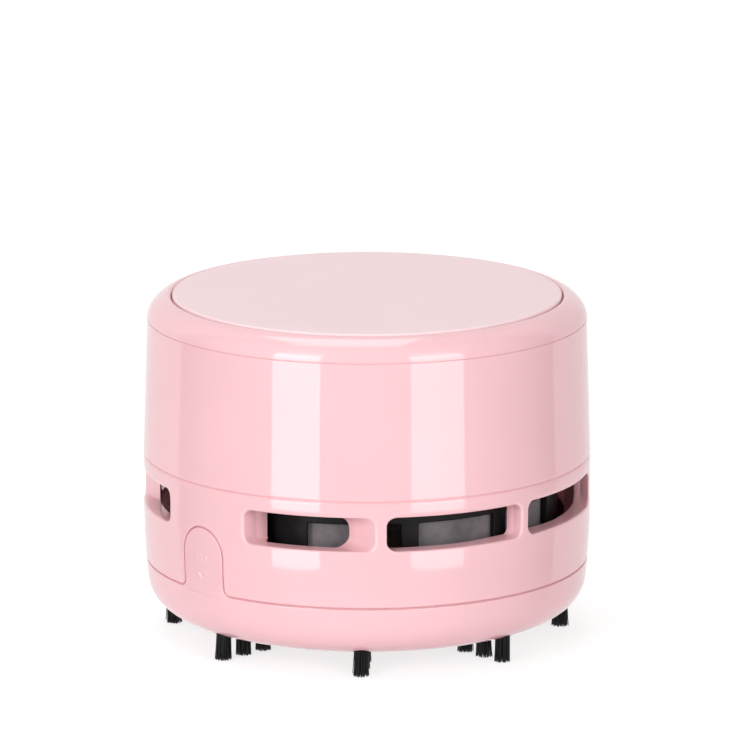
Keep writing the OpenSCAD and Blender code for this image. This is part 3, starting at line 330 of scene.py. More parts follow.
class Skin:
    """Collects faces with a normal at each corner. Patches that meet are welded."""

    def __init__(self):
        self.points, self.normals, self.faces, self.paints = [], [], [], []
        self.count = 0
        self.paint = 0                  # which of the piece's materials the next faces get

    def add(self, points, normals, faces=None):
        """Adds faces, or all the points as one face. A normal given alone holds for all of them."""
        points = np.asarray(points, float)
        normals = np.broadcast_to(np.asarray(normals, float), points.shape).reshape(-1, 3)
        points = points.reshape(-1, 3)
        faces = [range(len(points))] if faces is None else faces
        self.points.append(points)
        self.normals.append(unit(normals))
        self.faces += [[i + self.count for i in f] for f in faces]
        self.paints += [self.paint] * len(faces)
        self.count += len(points)

    def strip(self, rows, normals, closed=True):
        """Quads between rows of points."""
        n, m = np.shape(rows)[:2]
        self.add(rows, normals, [(i * m + j, i * m + (j + 1) % m, (i + 1) * m + (j + 1) % m, (i + 1) * m + j)
                                 for i in range(n - 1) for j in range(m if closed else m - 1)])

    def wall(self, rows, first, closed=True):
        """A strip with the normals of its own shape, but for its first row's."""
        self.strip(rows, own_normals(rows, first, closed), closed)

    def domain(self, loops, seeds, place, keep_off):
        """Fills the flat region inside the closed loops with triangles, and puts it in place. place(u, v) gives
        points and normals. Of the seeds, those nearer than keep_off to a loop are left out."""
        edges, start = [], 0
        for loop in loops:
            edges += [(start + i, start + (i + 1) % len(loop)) for i in range(len(loop))]
            start += len(loop)
        coords = np.vstack([*loops, clear_seeds(seeds, loops, keep_off)])
        found = geometry.delaunay_2d_cdt([Vector(c) for c in coords], edges, [], 0, 1e-6)
        flat = np.array([tuple(v) for v in found[0]])
        tris = np.array([f for f in found[2] if len(f) == 3])
        tris = tris[odd_inside(flat[tris].mean(1), loops)]
        self.add(*place(flat[:, 0], flat[:, 1]), tris.tolist())

    def lathe(self, section, phis=circle(), centre=(0, 0), whole=True):
        """Turns a half section about an upright axis. Corners sharper than CREASE stay sharp. The outside is on the
        section's right. Where whole is false, the section is a closed loop over a part of the turn."""
        pts = [np.array(p, float) for p in section]
        if not whole:
            pts.append(pts[0])
        pts = [p for i, p in enumerate(pts) if i == 0 or np.linalg.norm(p - pts[i - 1]) > 1e-6]
        sides = [unit(np.array([b[1] - a[1], a[0] - b[0]])) for a, b in zip(pts, pts[1:])]

        def joint(i, j):
            """The normal shared by side i and its neighbour j, or side i's own."""
            if whole and not 0 <= j < len(sides):
                return sides[i]
            a, b = sides[i], sides[j % len(sides)]
            return unit(a + b) if a @ b > CREASE else a

        for i in range(len(sides)):
            self.strip([at_radius(phis, z, r) + (*centre, 0.0) for r, z in pts[i:i + 2]],
                       [at_radius(phis, n[1], n[0]) for n in (joint(i, i - 1), joint(i, i + 1))], whole)

    def box(self, corners):
        """Six flat faces, from the four corners of a bottom and the four of a top."""
        for quad in ((0, 3, 2, 1), (4, 5, 6, 7), (0, 1, 5, 4), (1, 2, 6, 5), (2, 3, 7, 6), (3, 0, 4, 7)):
            p = np.array([corners[i] for i in quad], float)
            self.add(p, np.cross(p[1] - p[0], p[2] - p[0]))

    def web(self, angle, r0, r1, width, z0, z1):
        """A straight web between two radii."""
        c, s, h = math.cos(angle), math.sin(angle), width / 2
        self.box([(x * c + r * s, x * s - r * c, z) for z in (z0, z1)
                  for x, r in ((-h, r1), (h, r1), (h, r0), (-h, r0))])

    def build(self, name, material, body, replaces, second=None):
        """Makes the mesh, with each face turned to agree with its normals."""
        points, normals = np.vstack(self.points), np.vstack(self.normals)
        keys = np.round(points * WELD + 0.137).astype(np.int64)
        _, first, same = np.unique(keys, axis=0, return_index=True, return_inverse=True)
        same = same.reshape(-1).tolist()
        faces, corners, paints = [], [], []
        for f, paint in zip(self.faces, self.paints):
            ids, kept = [], []
            for i in f:
                if same[i] not in ids:
                    ids.append(same[i])
                    kept.append(i)
            if len(ids) < 3:
                continue
            p = points[kept]
            across = np.cross(p[2] - p[0], p[3] - p[1]) if len(kept) == 4 else np.cross(p[1] - p[0], p[2] - p[0])
            if across @ normals[kept].sum(0) < 0:
                ids.reverse()
                kept.reverse()
            faces.append(ids)
            paints.append(paint)
            corners += kept
        mesh = bpy.data.meshes.new(name)
        mesh.from_pydata((points[first] * MM).tolist(), [], faces)
        mesh.polygons.foreach_set("use_smooth", [True] * len(mesh.polygons))
        mesh.normals_split_custom_set(normals[corners].tolist())
        mesh.update()
        piece = settle(bpy.data.objects.new(name, mesh), material, body, replaces)
        if second is not None:
            mesh.materials.append(second)
            mesh.polygons.foreach_set("material_index", paints)
        return piece


def settle(piece, material, body, replaces):
    """Links a new piece, gives it its material and puts it on its body."""
    link(piece)
    piece.data.materials.append(material)
    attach(piece, body)
    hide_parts(*replaces)
    return piece


def edge_rows(sharp, on, inner, w, steps, wall_rows=2):
    """Rows of points for a rounded edge and the wall behind it. sharp is the sharp edge, on the outline moved back on
    to the surface by w, and inner where the wall ends."""
    d = inner - sharp
    length = np.linalg.norm(d, axis=1, keepdims=True)
    end = sharp + d / length * np.minimum(w, 0.9 * length)
    rows = []
    for t in (i / steps for i in range(steps + 1)):
        a, b, c = (1 - t) ** 2, 2 * math.sqrt(0.5) * t * (1 - t), t * t
        rows.append((a * on + b * sharp + c * end) / (a + b + c))
    return rows + [end + (inner - end) * i / wall_rows for i in range(1, wall_rows + 1)]


def own_normals(rows, first, closed=True):
    """Normals of rows from their own shape. The first row's are given, so that it runs into the surface it leaves."""
    rows = np.array(rows)
    along = np.roll(rows, -1, axis=1) - np.roll(rows, 1, axis=1) if closed else np.gradient(rows, axis=1)
    steps = unit(np.diff(rows, axis=0))
    across = np.zeros_like(rows)
    across[:-1] += steps
    across[1:] += steps
    normals = unit(np.cross(along, across))
    normals *= np.where((normals[0] * first).sum(1) < 0, -1, 1)[:, None]
    normals[0] = first
    return normals


# ---------------------------------------------------------------------------- materials


def feed(node, inputs):
    """Sets a node's inputs: each to a value, or to the socket that feeds it."""
    for key, value in inputs.items():
        if isinstance(value, bpy.types.NodeSocket):
            node.id_data.links.new(value, node.inputs[key])
        else:
            node.inputs[key].default_value = value


def add_node(tree, kind, inputs={}, **settings):
    node = tree.nodes.new("ShaderNode" + kind)
    for key, value in settings.items():
        setattr(node, key, value)
    feed(node, inputs)
    return node


def remap(tree, value, low, high, to_low=0.0, to_high=1.0):
    """Maps low to high on to another range, and holds it there."""
    return add_node(tree, "MapRange", {"Value": value, "From Min": low, "From Max": high,
                                       "To Min": to_low, "To Max": to_high}).outputs["Result"]


def combine(tree, operation, *values):
    return add_node(tree, "Math", dict(enumerate(values)), operation=operation).outputs[0]


class Shader:
    """A Principled material and short ways to feed it."""

    def __init__(self, name, colour, roughness, **sockets):
        self.material = bpy.data.materials.new(name)
        self.material.use_nodes = True
        self.material.diffuse_color = (*colour, 1)
        self.tree = self.material.node_tree
        self.bsdf = self.tree.nodes["Principled BSDF"]
        feed(self.bsdf, {"Base Color": (*colour, 1), "Roughness": roughness, "Metallic": 0.0})
        feed(self.bsdf, {key.replace("_", " "): value for key, value in sockets.items()})
        self.colour, self.normal = colour, None

    def coordinates(self, stretch=(1, 1, 1)):
        """The place on the piece, in metres, stretched for grain that runs one way."""
        place = add_node(self.tree, "TexCoord").outputs["Object"]
        return add_node(self.tree, "Mapping", {"Vector": place, "Scale": stretch}).outputs["Vector"]

    def noise(self, scale, detail=3.0, roughness=0.5, stretch=(1, 1, 1)):
        return add_node(self.tree, "TexNoise", {"Vector": self.coordinates(stretch), "Scale": scale, "Detail": detail,
                                                "Roughness": roughness}).outputs["Fac"]

    def bands(self, direction, stretch=(1, 1, 1), **inputs):
        return add_node(self.tree, "TexWave", {"Vector": self.coordinates(stretch), **inputs}, wave_type="BANDS",
                        bands_direction=direction).outputs["Fac"]

    def spread(self, noise, low, high):
        """Maps a noise to a range."""
        return remap(self.tree, noise, 0.3, 0.7, low, high)

    def mix(self, factor, a, b):
        return add_node(self.tree, "Mix", {"Factor": factor, "A": a, "B": b}, data_type="RGBA").outputs["Result"]

    def vary_colour(self, noise, other):
        """Mixes the base colour towards another one where the noise is high."""
        mixed = self.mix(self.spread(noise, 0, 1), (*self.colour, 1), (*other, 1))
        feed(self.bsdf, {"Base Color": mixed})
        return mixed

    def vary_roughness(self, noise, low, high):
        feed(self.bsdf, {"Roughness": self.spread(noise, low, high)})

    def bump(self, height, distance, strength=1.0):
        """Adds a relief of distance millimetres."""
        inputs = {"Strength": strength, "Distance": distance * MM, "Height": height}
        if self.normal is not None:
            inputs["Normal"] = self.normal
        self.normal = add_node(self.tree, "Bump", inputs).outputs["Normal"]
        feed(self.bsdf, {"Normal": self.normal})


def moulded(name, colour, roughness, grain=0.004, waviness=0.0, tint=0.97, wander=0.15, **sockets):
    """Injection-moulded plastic: near-even colour, roughness that wanders a little, and the mould's fine texture."""
    s = Shader(name, colour, roughness, **sockets)
    s.vary_colour(s.noise(55, 2), tuple(c * tint for c in colour))
    s.vary_roughness(s.noise(140, 3), roughness * (1 - wander), roughness * (1 + wander))
    if waviness:
        s.bump(s.noise(38, 1), waviness)
    if grain:
        s.bump(s.noise(5200, 2, 0.6), grain, 0.6)
    return s.material


def steel(name, colour, roughness, stretch=(1, 1, 0.04)):
    """Drawn or rolled metal with fine lines along one way."""
    s = Shader(name, colour, roughness, Metallic=1.0)
    s.vary_colour(s.noise(90, 3), tuple(c * 0.9 for c in colour))
    lines = s.noise(2600, 3, 0.6, stretch)
    s.vary_roughness(lines, roughness * 0.75, roughness * 1.3)
    s.bump(lines, 0.004, 0.5)
    return s.material


def mesh_cloth():
    s = Shader("filter_mesh_cloth", (0.135, 0.125, 0.135), 0.85, Sheen_Weight=0.25, Sheen_Roughness=0.5)
    s.vary_colour(s.noise(190, 4, 0.6), (0.25, 0.235, 0.25))
    weft = s.bands("Z", Scale=520, Distortion=0.4)
    warp = s.bands("DIAGONAL", (1, 1, 0), Scale=420)
    s.bump(combine(s.tree, "MAXIMUM", weft, warp), 0.05, 0.8)
    return s.material


def bristle_nylon():
    s = Shader("bristle_nylon", (0.004, 0.004, 0.0045), 0.5, Specular_IOR_Level=0.3)
    s.vary_colour(s.noise(900, 2), (0.012, 0.012, 0.0125))
    s.vary_roughness(s.noise(2500, 2, 0.5, (1, 1, 0.1)), 0.32, 0.55)
    return s.material


def cell_sleeve():
    """A plain cell: a dark green sleeve between bare steel ends, told apart by the place along the cell."""
    s = Shader("cell_sleeve", (0.03, 0.14, 0.085), 0.25, Coat_Weight=0.6, Coat_Roughness=0.08)
    place = add_node(s.tree, "TexCoord").outputs["Object"]
    along = add_node(s.tree, "SeparateXYZ", {"Vector": place}).outputs["Y"]
    bare = remap(s.tree, combine(s.tree, "ABSOLUTE", along), 0.0238, 0.0241)
    sleeve = s.vary_colour(s.noise(60, 2), (0.035, 0.16, 0.10))
    feed(s.bsdf, {"Base Color": s.mix(bare, sleeve, (0.72, 0.71, 0.69, 1)), "Metallic": bare})
    s.vary_roughness(s.noise(700, 3), 0.2, 0.32)
    return s.material


PINK = (0.93, 0.565, 0.60)
MATTE_PINK = (0.97, 0.752, 0.776)

MAT = {
    "gloss": moulded("pink_gloss_plastic", PINK, 0.05, grain=0.0, waviness=0.01),
    "inside": moulded("pink_inside_plastic", PINK, 0.3, grain=0.006),
    # the inside of the vent band: pink darkened as painted shade, because little light gets in there; also rougher
    # and less shiny
    "painted_shade_pink": moulded("pink_plastic_painted_shade", (0.70, 0.27, 0.30), 0.6, grain=0.01, Specular_IOR_Level=0.25),
    "matte": moulded("pink_matte_plastic", MATTE_PINK, 0.6, grain=0.012, tint=0.985, wander=0.02,
                     Specular_IOR_Level=0.4),
    "black": moulded("black_cage_plastic", (0.0055, 0.005, 0.0053), 0.55, grain=0.008, tint=1.4,
                     Specular_IOR_Level=0.22),
    "tray": moulded("black_tray_plastic", (0.022, 0.022, 0.024), 0.42, grain=0.01, tint=1.3),
    "rubber": moulded("black_rubber", (0.018, 0.018, 0.018), 0.7, grain=0.012, tint=1.5),
    "nylon": moulded("white_nylon", (0.80, 0.79, 0.75), 0.38, grain=0.006),
    "magnet": moulded("ferrite_magnet", (0.055, 0.053, 0.055), 0.6, grain=0.02, tint=1.5),
    "lead_red": moulded("lead_sleeve_red", (0.55, 0.025, 0.02), 0.35, grain=0.006),
    "lead_black": moulded("lead_sleeve_black", (0.018, 0.018, 0.02), 0.35, grain=0.006),
    "lead_yellow": moulded("lead_sleeve_yellow", (0.80, 0.56, 0.04), 0.35, grain=0.006),
    "steel": steel("motor_steel", (0.62, 0.63, 0.64), 0.28),
    "screw": steel("screw_steel", (0.66, 0.66, 0.68), 0.3, (1, 1, 1)),
    "contact": steel("contact_steel", (0.70, 0.69, 0.66), 0.22, (0.04, 1, 1)),
    "brass": steel("brass", (0.78, 0.60, 0.28), 0.26, (1, 0.05, 1)),
    "bronze": steel("sintered_bronze", (0.60, 0.42, 0.22), 0.45, (1, 1, 1)),
    "armature": steel("armature", (0.52, 0.30, 0.16), 0.36, (1, 1, 0.6)),
    "cloth": mesh_cloth(),
    "bristle": bristle_nylon(),
    "cell": cell_sleeve(),
}

# ---------------------------------------------------------------------------- top cover and disc

SHOULDER_STEPS = 40
POCKET_LIP, LIP_SQUASH = 0.7, 0.8       # the cover's edge round the disc, and its height for its width
DISC_EDGE = 0.35


def make_cover():
    skin = Skin()
    span_r, span_z = HOUSING_TOP_R - SHOULDER_END_R, BODY_TOP_Z - COVER_BOTTOM_Z
    stop = math.acos(((DISC_POCKET_R - SHOULDER_END_R) / span_r) ** (SHOULDER_POWER / 2))
    # the last of the shoulder rolls over into the disc's pocket
    crest_r = DISC_POCKET_R + POCKET_LIP
    crest_in = ((crest_r - SHOULDER_END_R) / span_r) ** SHOULDER_POWER
    crest_z = COVER_BOTTOM_Z + span_z * (1 - crest_in) ** (1 / SHOULDER_POWER)
    shoulder = [(SHOULDER_END_R + span_r * math.cos(t) ** (2 / SHOULDER_POWER),
                 COVER_BOTTOM_Z + span_z * math.sin(t) ** (2 / SHOULDER_POWER))
                for t in (stop * i / SHOULDER_STEPS for i in range(1, SHOULDER_STEPS + 1))]
    roll = [(DISC_POCKET_R + POCKET_LIP * (1 - math.sin(a)), crest_z - LIP_SQUASH * POCKET_LIP * (1 - math.cos(a)))
            for a in every(10, 0, 10)]
    section = rounded([(0.0, COVER_PLATE_Z, 0), (SKIRT_IN_R, COVER_PLATE_Z, 0.6), (SKIRT_IN_R, SKIRT_Z, 0.25),
                       (SKIRT_R, SKIRT_Z, 0.35), (SKIRT_R, COVER_BOTTOM_Z, 0.15)])
    section += [(HOUSING_TOP_R - 0.12, COVER_BOTTOM_Z), (HOUSING_TOP_R - 0.03, COVER_BOTTOM_Z + 0.03)]
    section += [p for p in shoulder if p[0] > crest_r + 0.05] + roll
    section += rounded([(DISC_POCKET_R, COVER_PLATE_TOP_Z + 0.6, 0), (DISC_POCKET_R, COVER_PLATE_TOP_Z, 0.2),
                        (0.0, COVER_PLATE_TOP_Z, 0)])[1:]
    skin.lathe(section)
    skin.build("cover_shell", MAT["gloss"], "cover", ["top_cover"])


def make_disc():
    skin = Skin()
    bottom = BODY_TOP_Z - DISC_T
    section = [(0.0, bottom), (DISC_R - 0.2, bottom), (DISC_R, bottom + 0.2)]
    section += quarter(DISC_R, BODY_TOP_Z, -DISC_EDGE, -DISC_EDGE, every(11.25, 0, 9))
    section += [(r, BODY_TOP_Z) for r in (30.0, 20.0, 10.0, 0.0)]
    skin.lathe(section)
    skin.build("disc_inlay", MAT["matte"], "cover", ["top_disc"])


# ---------------------------------------------------------------------------- upper housing

HOUSING_ROUND, HOUSING_ROUND_IN = 0.4, 0.2      # its lower edge
HOUSING_RIB = 0.22                              # how far in the rib behind the cover's seam is
POCKET_EDGE = 0.4


def make_housing():
    skin = Skin()
    low, high = HOUSING_BOTTOM_Z, HOUSING_TOP_Z
    z0, z1 = low + HOUSING_ROUND + 0.2, high - 0.3
    # the switch's pocket is cut along Y, so its outline is flat in X and Z; seen from behind, phi falls as x rises
    loop, out = rounded_loop(*SWITCH_POCKET)

    def on_wall(flat):
        z = flat[:, 1] + SWITCH_Z
        return np.stack([flat[:, 0], np.sqrt(draft(z) ** 2 - flat[:, 0] ** 2), z], -1)

    sharp, on = on_wall(loop), on_wall(loop + POCKET_EDGE * out)
    hole = uz(math.pi - np.arcsin(on[:, 0] / draft(on[:, 2])), on[:, 2])
    us, up = ROUND_U + math.pi * BODY_R, np.linspace(z0, z1, 23)[1:-1]
    skin.domain([between(level(us, z0), level(us, z1), up), hole], ring_seeds(us, up, odd=0), turned(draft), 0.35)
    first = np.column_stack([on[:, :2] / draft(SWITCH_Z), np.full(len(on), -slope_of(draft, SWITCH_Z))])
    skin.wall(edge_rows(sharp, on, upright(loop, POCKET_Y, SWITCH_Z), POCKET_EDGE, 6), first)
    # the pocket's floor, with the slot for the knob's stem
    slot, _ = rounded_loop(*SWITCH_SLOT)
    skin.domain([loop, slot], lattice(-6.5, 6.5, -3, 3, 0.9, 0.9), rear_face(POCKET_Y, 1.0), 0.35)
    skin.wall([upright(slot, y, SWITCH_Z) for y in (POCKET_Y, PAD_Y)], -upright(slot * (1, 2)))
    # rims and the inside
    rib_r = HOUSING_TOP_R - HOUSING_RIB
    section = [(draft(z0), z0), (draft(low + HOUSING_ROUND), low + HOUSING_ROUND)]
    section += quarter(BODY_R, low, -HOUSING_ROUND_IN, HOUSING_ROUND, every(15, 1, 7))
    section += rounded([(BODY_R - HOUSING_ROUND_IN, low, 0), (BODY_R - WALL_T, low, 0.2),
                        (HOUSING_TOP_R - WALL_T, COVER_BOTTOM_Z, 0.3), (rib_r, COVER_BOTTOM_Z, 0), (rib_r, high, 0),
                        (HOUSING_TOP_R, high, 0.1), (draft(z1), z1, 0)])[1:]
    skin.lathe(section[::-1])
    # screw bosses with their webs, and the pad that carries the switch
    boss = rounded([(BOSS_HOLE_R, BOSS_Z, 0.15), (BOSS_R, BOSS_Z, 0.3), (BOSS_R, BOSS_TOP_Z, 0.4),
                    (0.0, BOSS_TOP_Z, 0)])
    for a in every(90, 0, 4):
        skin.lathe(boss, circle(32), (BOSS_PLACE_R * math.sin(a), -BOSS_PLACE_R * math.cos(a)))
        skin.web(a, 35.0, INTO_WALL_R, 2.4, 37.4, BOSS_TOP_Z)
    pad, _ = rounded_loop(*SWITCH_PAD)
    skin.domain([pad, slot], lattice(-10, 10, -4, 4, 2, 2), rear_face(PAD_Y, -1.0), 0.5)
    near = upright(pad, PAD_Y, SWITCH_Z)
    far = np.stack([near[:, 0], np.sqrt(INTO_WALL_R ** 2 - near[:, 0] ** 2), near[:, 2]], -1)
    skin.wall([near, far], upright(pad))
    skin.build("housing_shell", MAT["gloss"], "housing", ["upper_housing"])


# ---------------------------------------------------------------------------- vent band

SEAM_DEPTH = 0.4
WINDOW_ROUND = 0.45
WINDOW_CORNER = 1.75
INNER_TOP_Z = 31.0              # the windows' inner openings are lower than their outer ones
VENT_MIDDLE_Z = 28.0
SIDE_START_Y, FRONT_END_Y, REAR_END_Y = -26.3, -0.5, -1.3
CORNER_START_X, CORNER_END_Y = 10.2, 28.0
CORNER_CUT = math.radians(2.9)  # how much of each end of a corner window is cut straight
THIN_R, THIN_END_R = 39.4, 38.6     # the collar is cut back behind the windows, less so towards the sides
WALL_DEEPER = 1.2               # it reaches further in beside the plain wall over the tab
# where it changes, in degrees from the front or the rear
PLAIN_END, PILLAR_START, PILLAR_END, SIDE_START = (16.0, 18.3), (38, 41), (42.5, 46), (70, 86)
PILLAR_STEP = 0.16
BAND_EDGE = 0.25
BAND_TOP_IN, BAND_TOP_DOWN = 0.35, 1.1      # the band's top edge rolls over further down than in
LOW_ROOM_SIDE_Z = (16.0, 18.0, 20.0)
PARTING_START_Z, PARTING_HALF_W, PARTING_DEPTH = 26.9, 0.24, 0.06


def collar_radius(phi, z):
    """Radius of the collar's inside face."""
    a = np.degrees(np.abs((phi + math.pi) % TAU - math.pi))
    a = np.minimum(a, 180 - a)
    pillar = ramp(a, *PILLAR_START) * (1 - ramp(a, *PILLAR_END)) * (phi > 0)
    cut_back = THIN_R - COLLAR_R - (THIN_R - THIN_END_R) * ramp(a, *SIDE_START)
    plain = 1 - ramp(a, *PLAIN_END)
    height = ramp(z, 22.7, 24.5) * (1 - ramp(z, 31.9, 33.5))
    return COLLAR_R + (cut_back * (1 - plain) * (1 - pillar) - WALL_DEEPER * plain) * height


def window_loops(half_w, inner_radii):
    """The outer and the inner outline of a window, (u, z) about its middle, and the directions into it."""
    loops = []
    for top, radii in ((VENT_TOP_Z, [WINDOW_CORNER] * 4), (INNER_TOP_Z, inner_radii)):
        loop, out = corner_loop(half_w, (top - VENT_BOTTOM_Z) / 2, radii)
        loops.append(loop + (0, (top + VENT_BOTTOM_Z) / 2))
    return *loops, -out


def side_window(y1):
    """The window at +X between the outer pillar and the middle one, which ends at y1. It is cut along X. Gives phi,
    z, the direction into the opening, and the phi and z of its inner outline, as corner_window does."""
    outer, inner, into = window_loops((y1 - SIDE_START_Y) / 2, [0.7, 1.6, 1.6, 1.3])
    y, y_in = (loop[:, 0] + (SIDE_START_Y + y1) / 2 for loop in (outer, inner))
    inner_phi = np.arccos(-y_in / COLLAR_R)
    for _ in range(40):             # the collar's radius depends on the angle, so it is found by repetition
        inner_phi = 0.5 * inner_phi + 0.5 * np.arccos(-y_in / collar_radius(inner_phi, VENT_MIDDLE_Z))
    return np.arccos(-y / BODY_R), outer[:, 1], into, inner_phi, inner[:, 1]


def corner_window():
    """The window between the plain front wall and the outer pillar. Its ends are cut along Y and along X."""
    a0, a1 = math.asin(CORNER_START_X / BODY_R), math.acos(CORNER_END_Y / BODY_R)
    outer, inner, into = window_loops((a1 - a0) / 2 * BODY_R, [2.75, 0.35, 0.35, 2.1])
    phi, from_phi = (loop[:, 0] / BODY_R + (a0 + a1) / 2 for loop in (outer, inner))
    e0, e1 = a0 + CORNER_CUT, a1 - CORNER_CUT
    wide = BODY_R / COLLAR_R
    b0, b1 = math.asin(wide * math.sin(e0)), math.acos(wide * math.cos(e1))
    inner_phi = np.select(
        [from_phi < e0, from_phi > e1],
        [np.arcsin(np.clip(wide * np.sin(from_phi), -1, 1)), np.arccos(np.clip(wide * np.cos(from_phi), -1, 1))],
        b0 + (b1 - b0) * (from_phi - e0) / (e1 - e0))
    return phi, outer[:, 1], into, inner_phi, inner[:, 1]


def all_windows():
    """The eight windows: each shape in front and at the rear, on both sides."""
    shapes = [(side_window(FRONT_END_Y), False), (side_window(REAR_END_Y), True),
              (corner_window(), False), (corner_window(), True)]
    made = []
    for (phi, z, into, inner_phi, inner_z), at_rear in shapes:
        mirrored = into * (-1, 1)
        if at_rear:
            phi, into, mirrored, inner_phi = math.pi - phi, mirrored, into, math.pi - inner_phi
        made += [(phi, z, into, inner_phi, inner_z), (-phi, z, mirrored, -inner_phi, inner_z)]
    return made


def edge_on(phi, z, out, w):
    """An outline on the barrel, moved back on to the material by w: its phi, z, points and normals."""
    on_phi, on_z = phi - out[:, 0] * w / barrel(z), z - out[:, 1] * w
    return on_phi, on_z, at_radius(on_phi, on_z, barrel(on_z)), radial(on_phi, slope_of(barrel, on_z))


def tab_outline(half, foot, side, spread=0.32):
    """Half of the outline of the tab or its notch, from the seam up to the top of the arch, on the side of +x.
    side is -1 where the material is outside the outline, as round the notch, and 1 for the tab itself.
    Gives x, z and the direction off the material."""
    cx, cz = TAB_HALF + TAB_FOOT, RING_TOP_Z + TAB_FOOT
    n = max(5, int(foot * math.pi / 2 / (spread * 0.7)))
    turns = every(-90 / n, n, 2 * n + 1)
    points = [(cx + foot * math.cos(a), cz + foot * math.sin(a)) for a in turns]
    out = [(-side * math.cos(a), -side * math.sin(a)) for a in turns]
    n = max(2, int((TAB_ARCH_Z - cz) / spread))
    points += [(half, cz + (TAB_ARCH_Z - cz) * i / n) for i in range(1, n + 1)]
    out += [(side, 0.0)] * n
    n = max(8, int(half * math.pi / 2 / spread))
    turns = every(90 / n, 1, n + 1)
    points += [(half * math.cos(a), TAB_ARCH_Z + half * math.sin(a)) for a in turns]
    out += [(side * math.cos(a), side * math.sin(a)) for a in turns]
    return np.array(points), np.array(out)


def seam_line(half, foot, seam_z, side):
    """The whole outline round the body at the dust box's seam, from phi = -pi to pi, with the arch in the middle:
    phi, z, the direction off the material, and x where the outline is cut along Y (nan elsewhere)."""
    tab, tab_out = tab_outline(half, foot, side)
    tab_phi = np.arcsin(tab[:, 0] / barrel(tab[:, 1]))
    plain = ROUND_PHI[ROUND_PHI > math.asin(tab[0, 0] / barrel(seam_z)) + TAU / SEGMENTS / 2]
    at_seam, no_x = np.full(len(plain), seam_z), np.full(len(plain), np.nan)
    off = np.tile((0.0, side), (len(plain), 1))
    return (np.concatenate([-plain[::-1], -tab_phi, tab_phi[::-1][1:], plain]),
            np.concatenate([at_seam, tab[:, 1], tab[::-1, 1][1:], at_seam]),
            np.vstack([off, tab_out * (-1, 1), tab_out[::-1][1:], off]),
            np.concatenate([no_x, -tab[:, 0], tab[::-1, 0][1:], no_x]))


def wall_phi(phis, xs, radius):
    """Where a wall that starts at phis ends on a smaller radius: cut along Y near the tab, along the radius
    elsewhere."""
    edge_x = np.nanmax(np.abs(xs))
    edge = math.asin(edge_x / BODY_R)
    fade = 1 - smooth((np.abs(phis) - edge) / 0.5)
    plain = phis + np.sign(phis) * (np.arcsin(edge_x / radius) - edge) * fade
    return np.where(np.isnan(xs), plain, np.arcsin(xs / radius))


def seam_relief(u, z):
    """The parting line of the mould above the tab."""
    return -PARTING_DEPTH * np.clip(1 - np.abs(u) / PARTING_HALF_W, 0, 1) * (z > PARTING_START_Z)


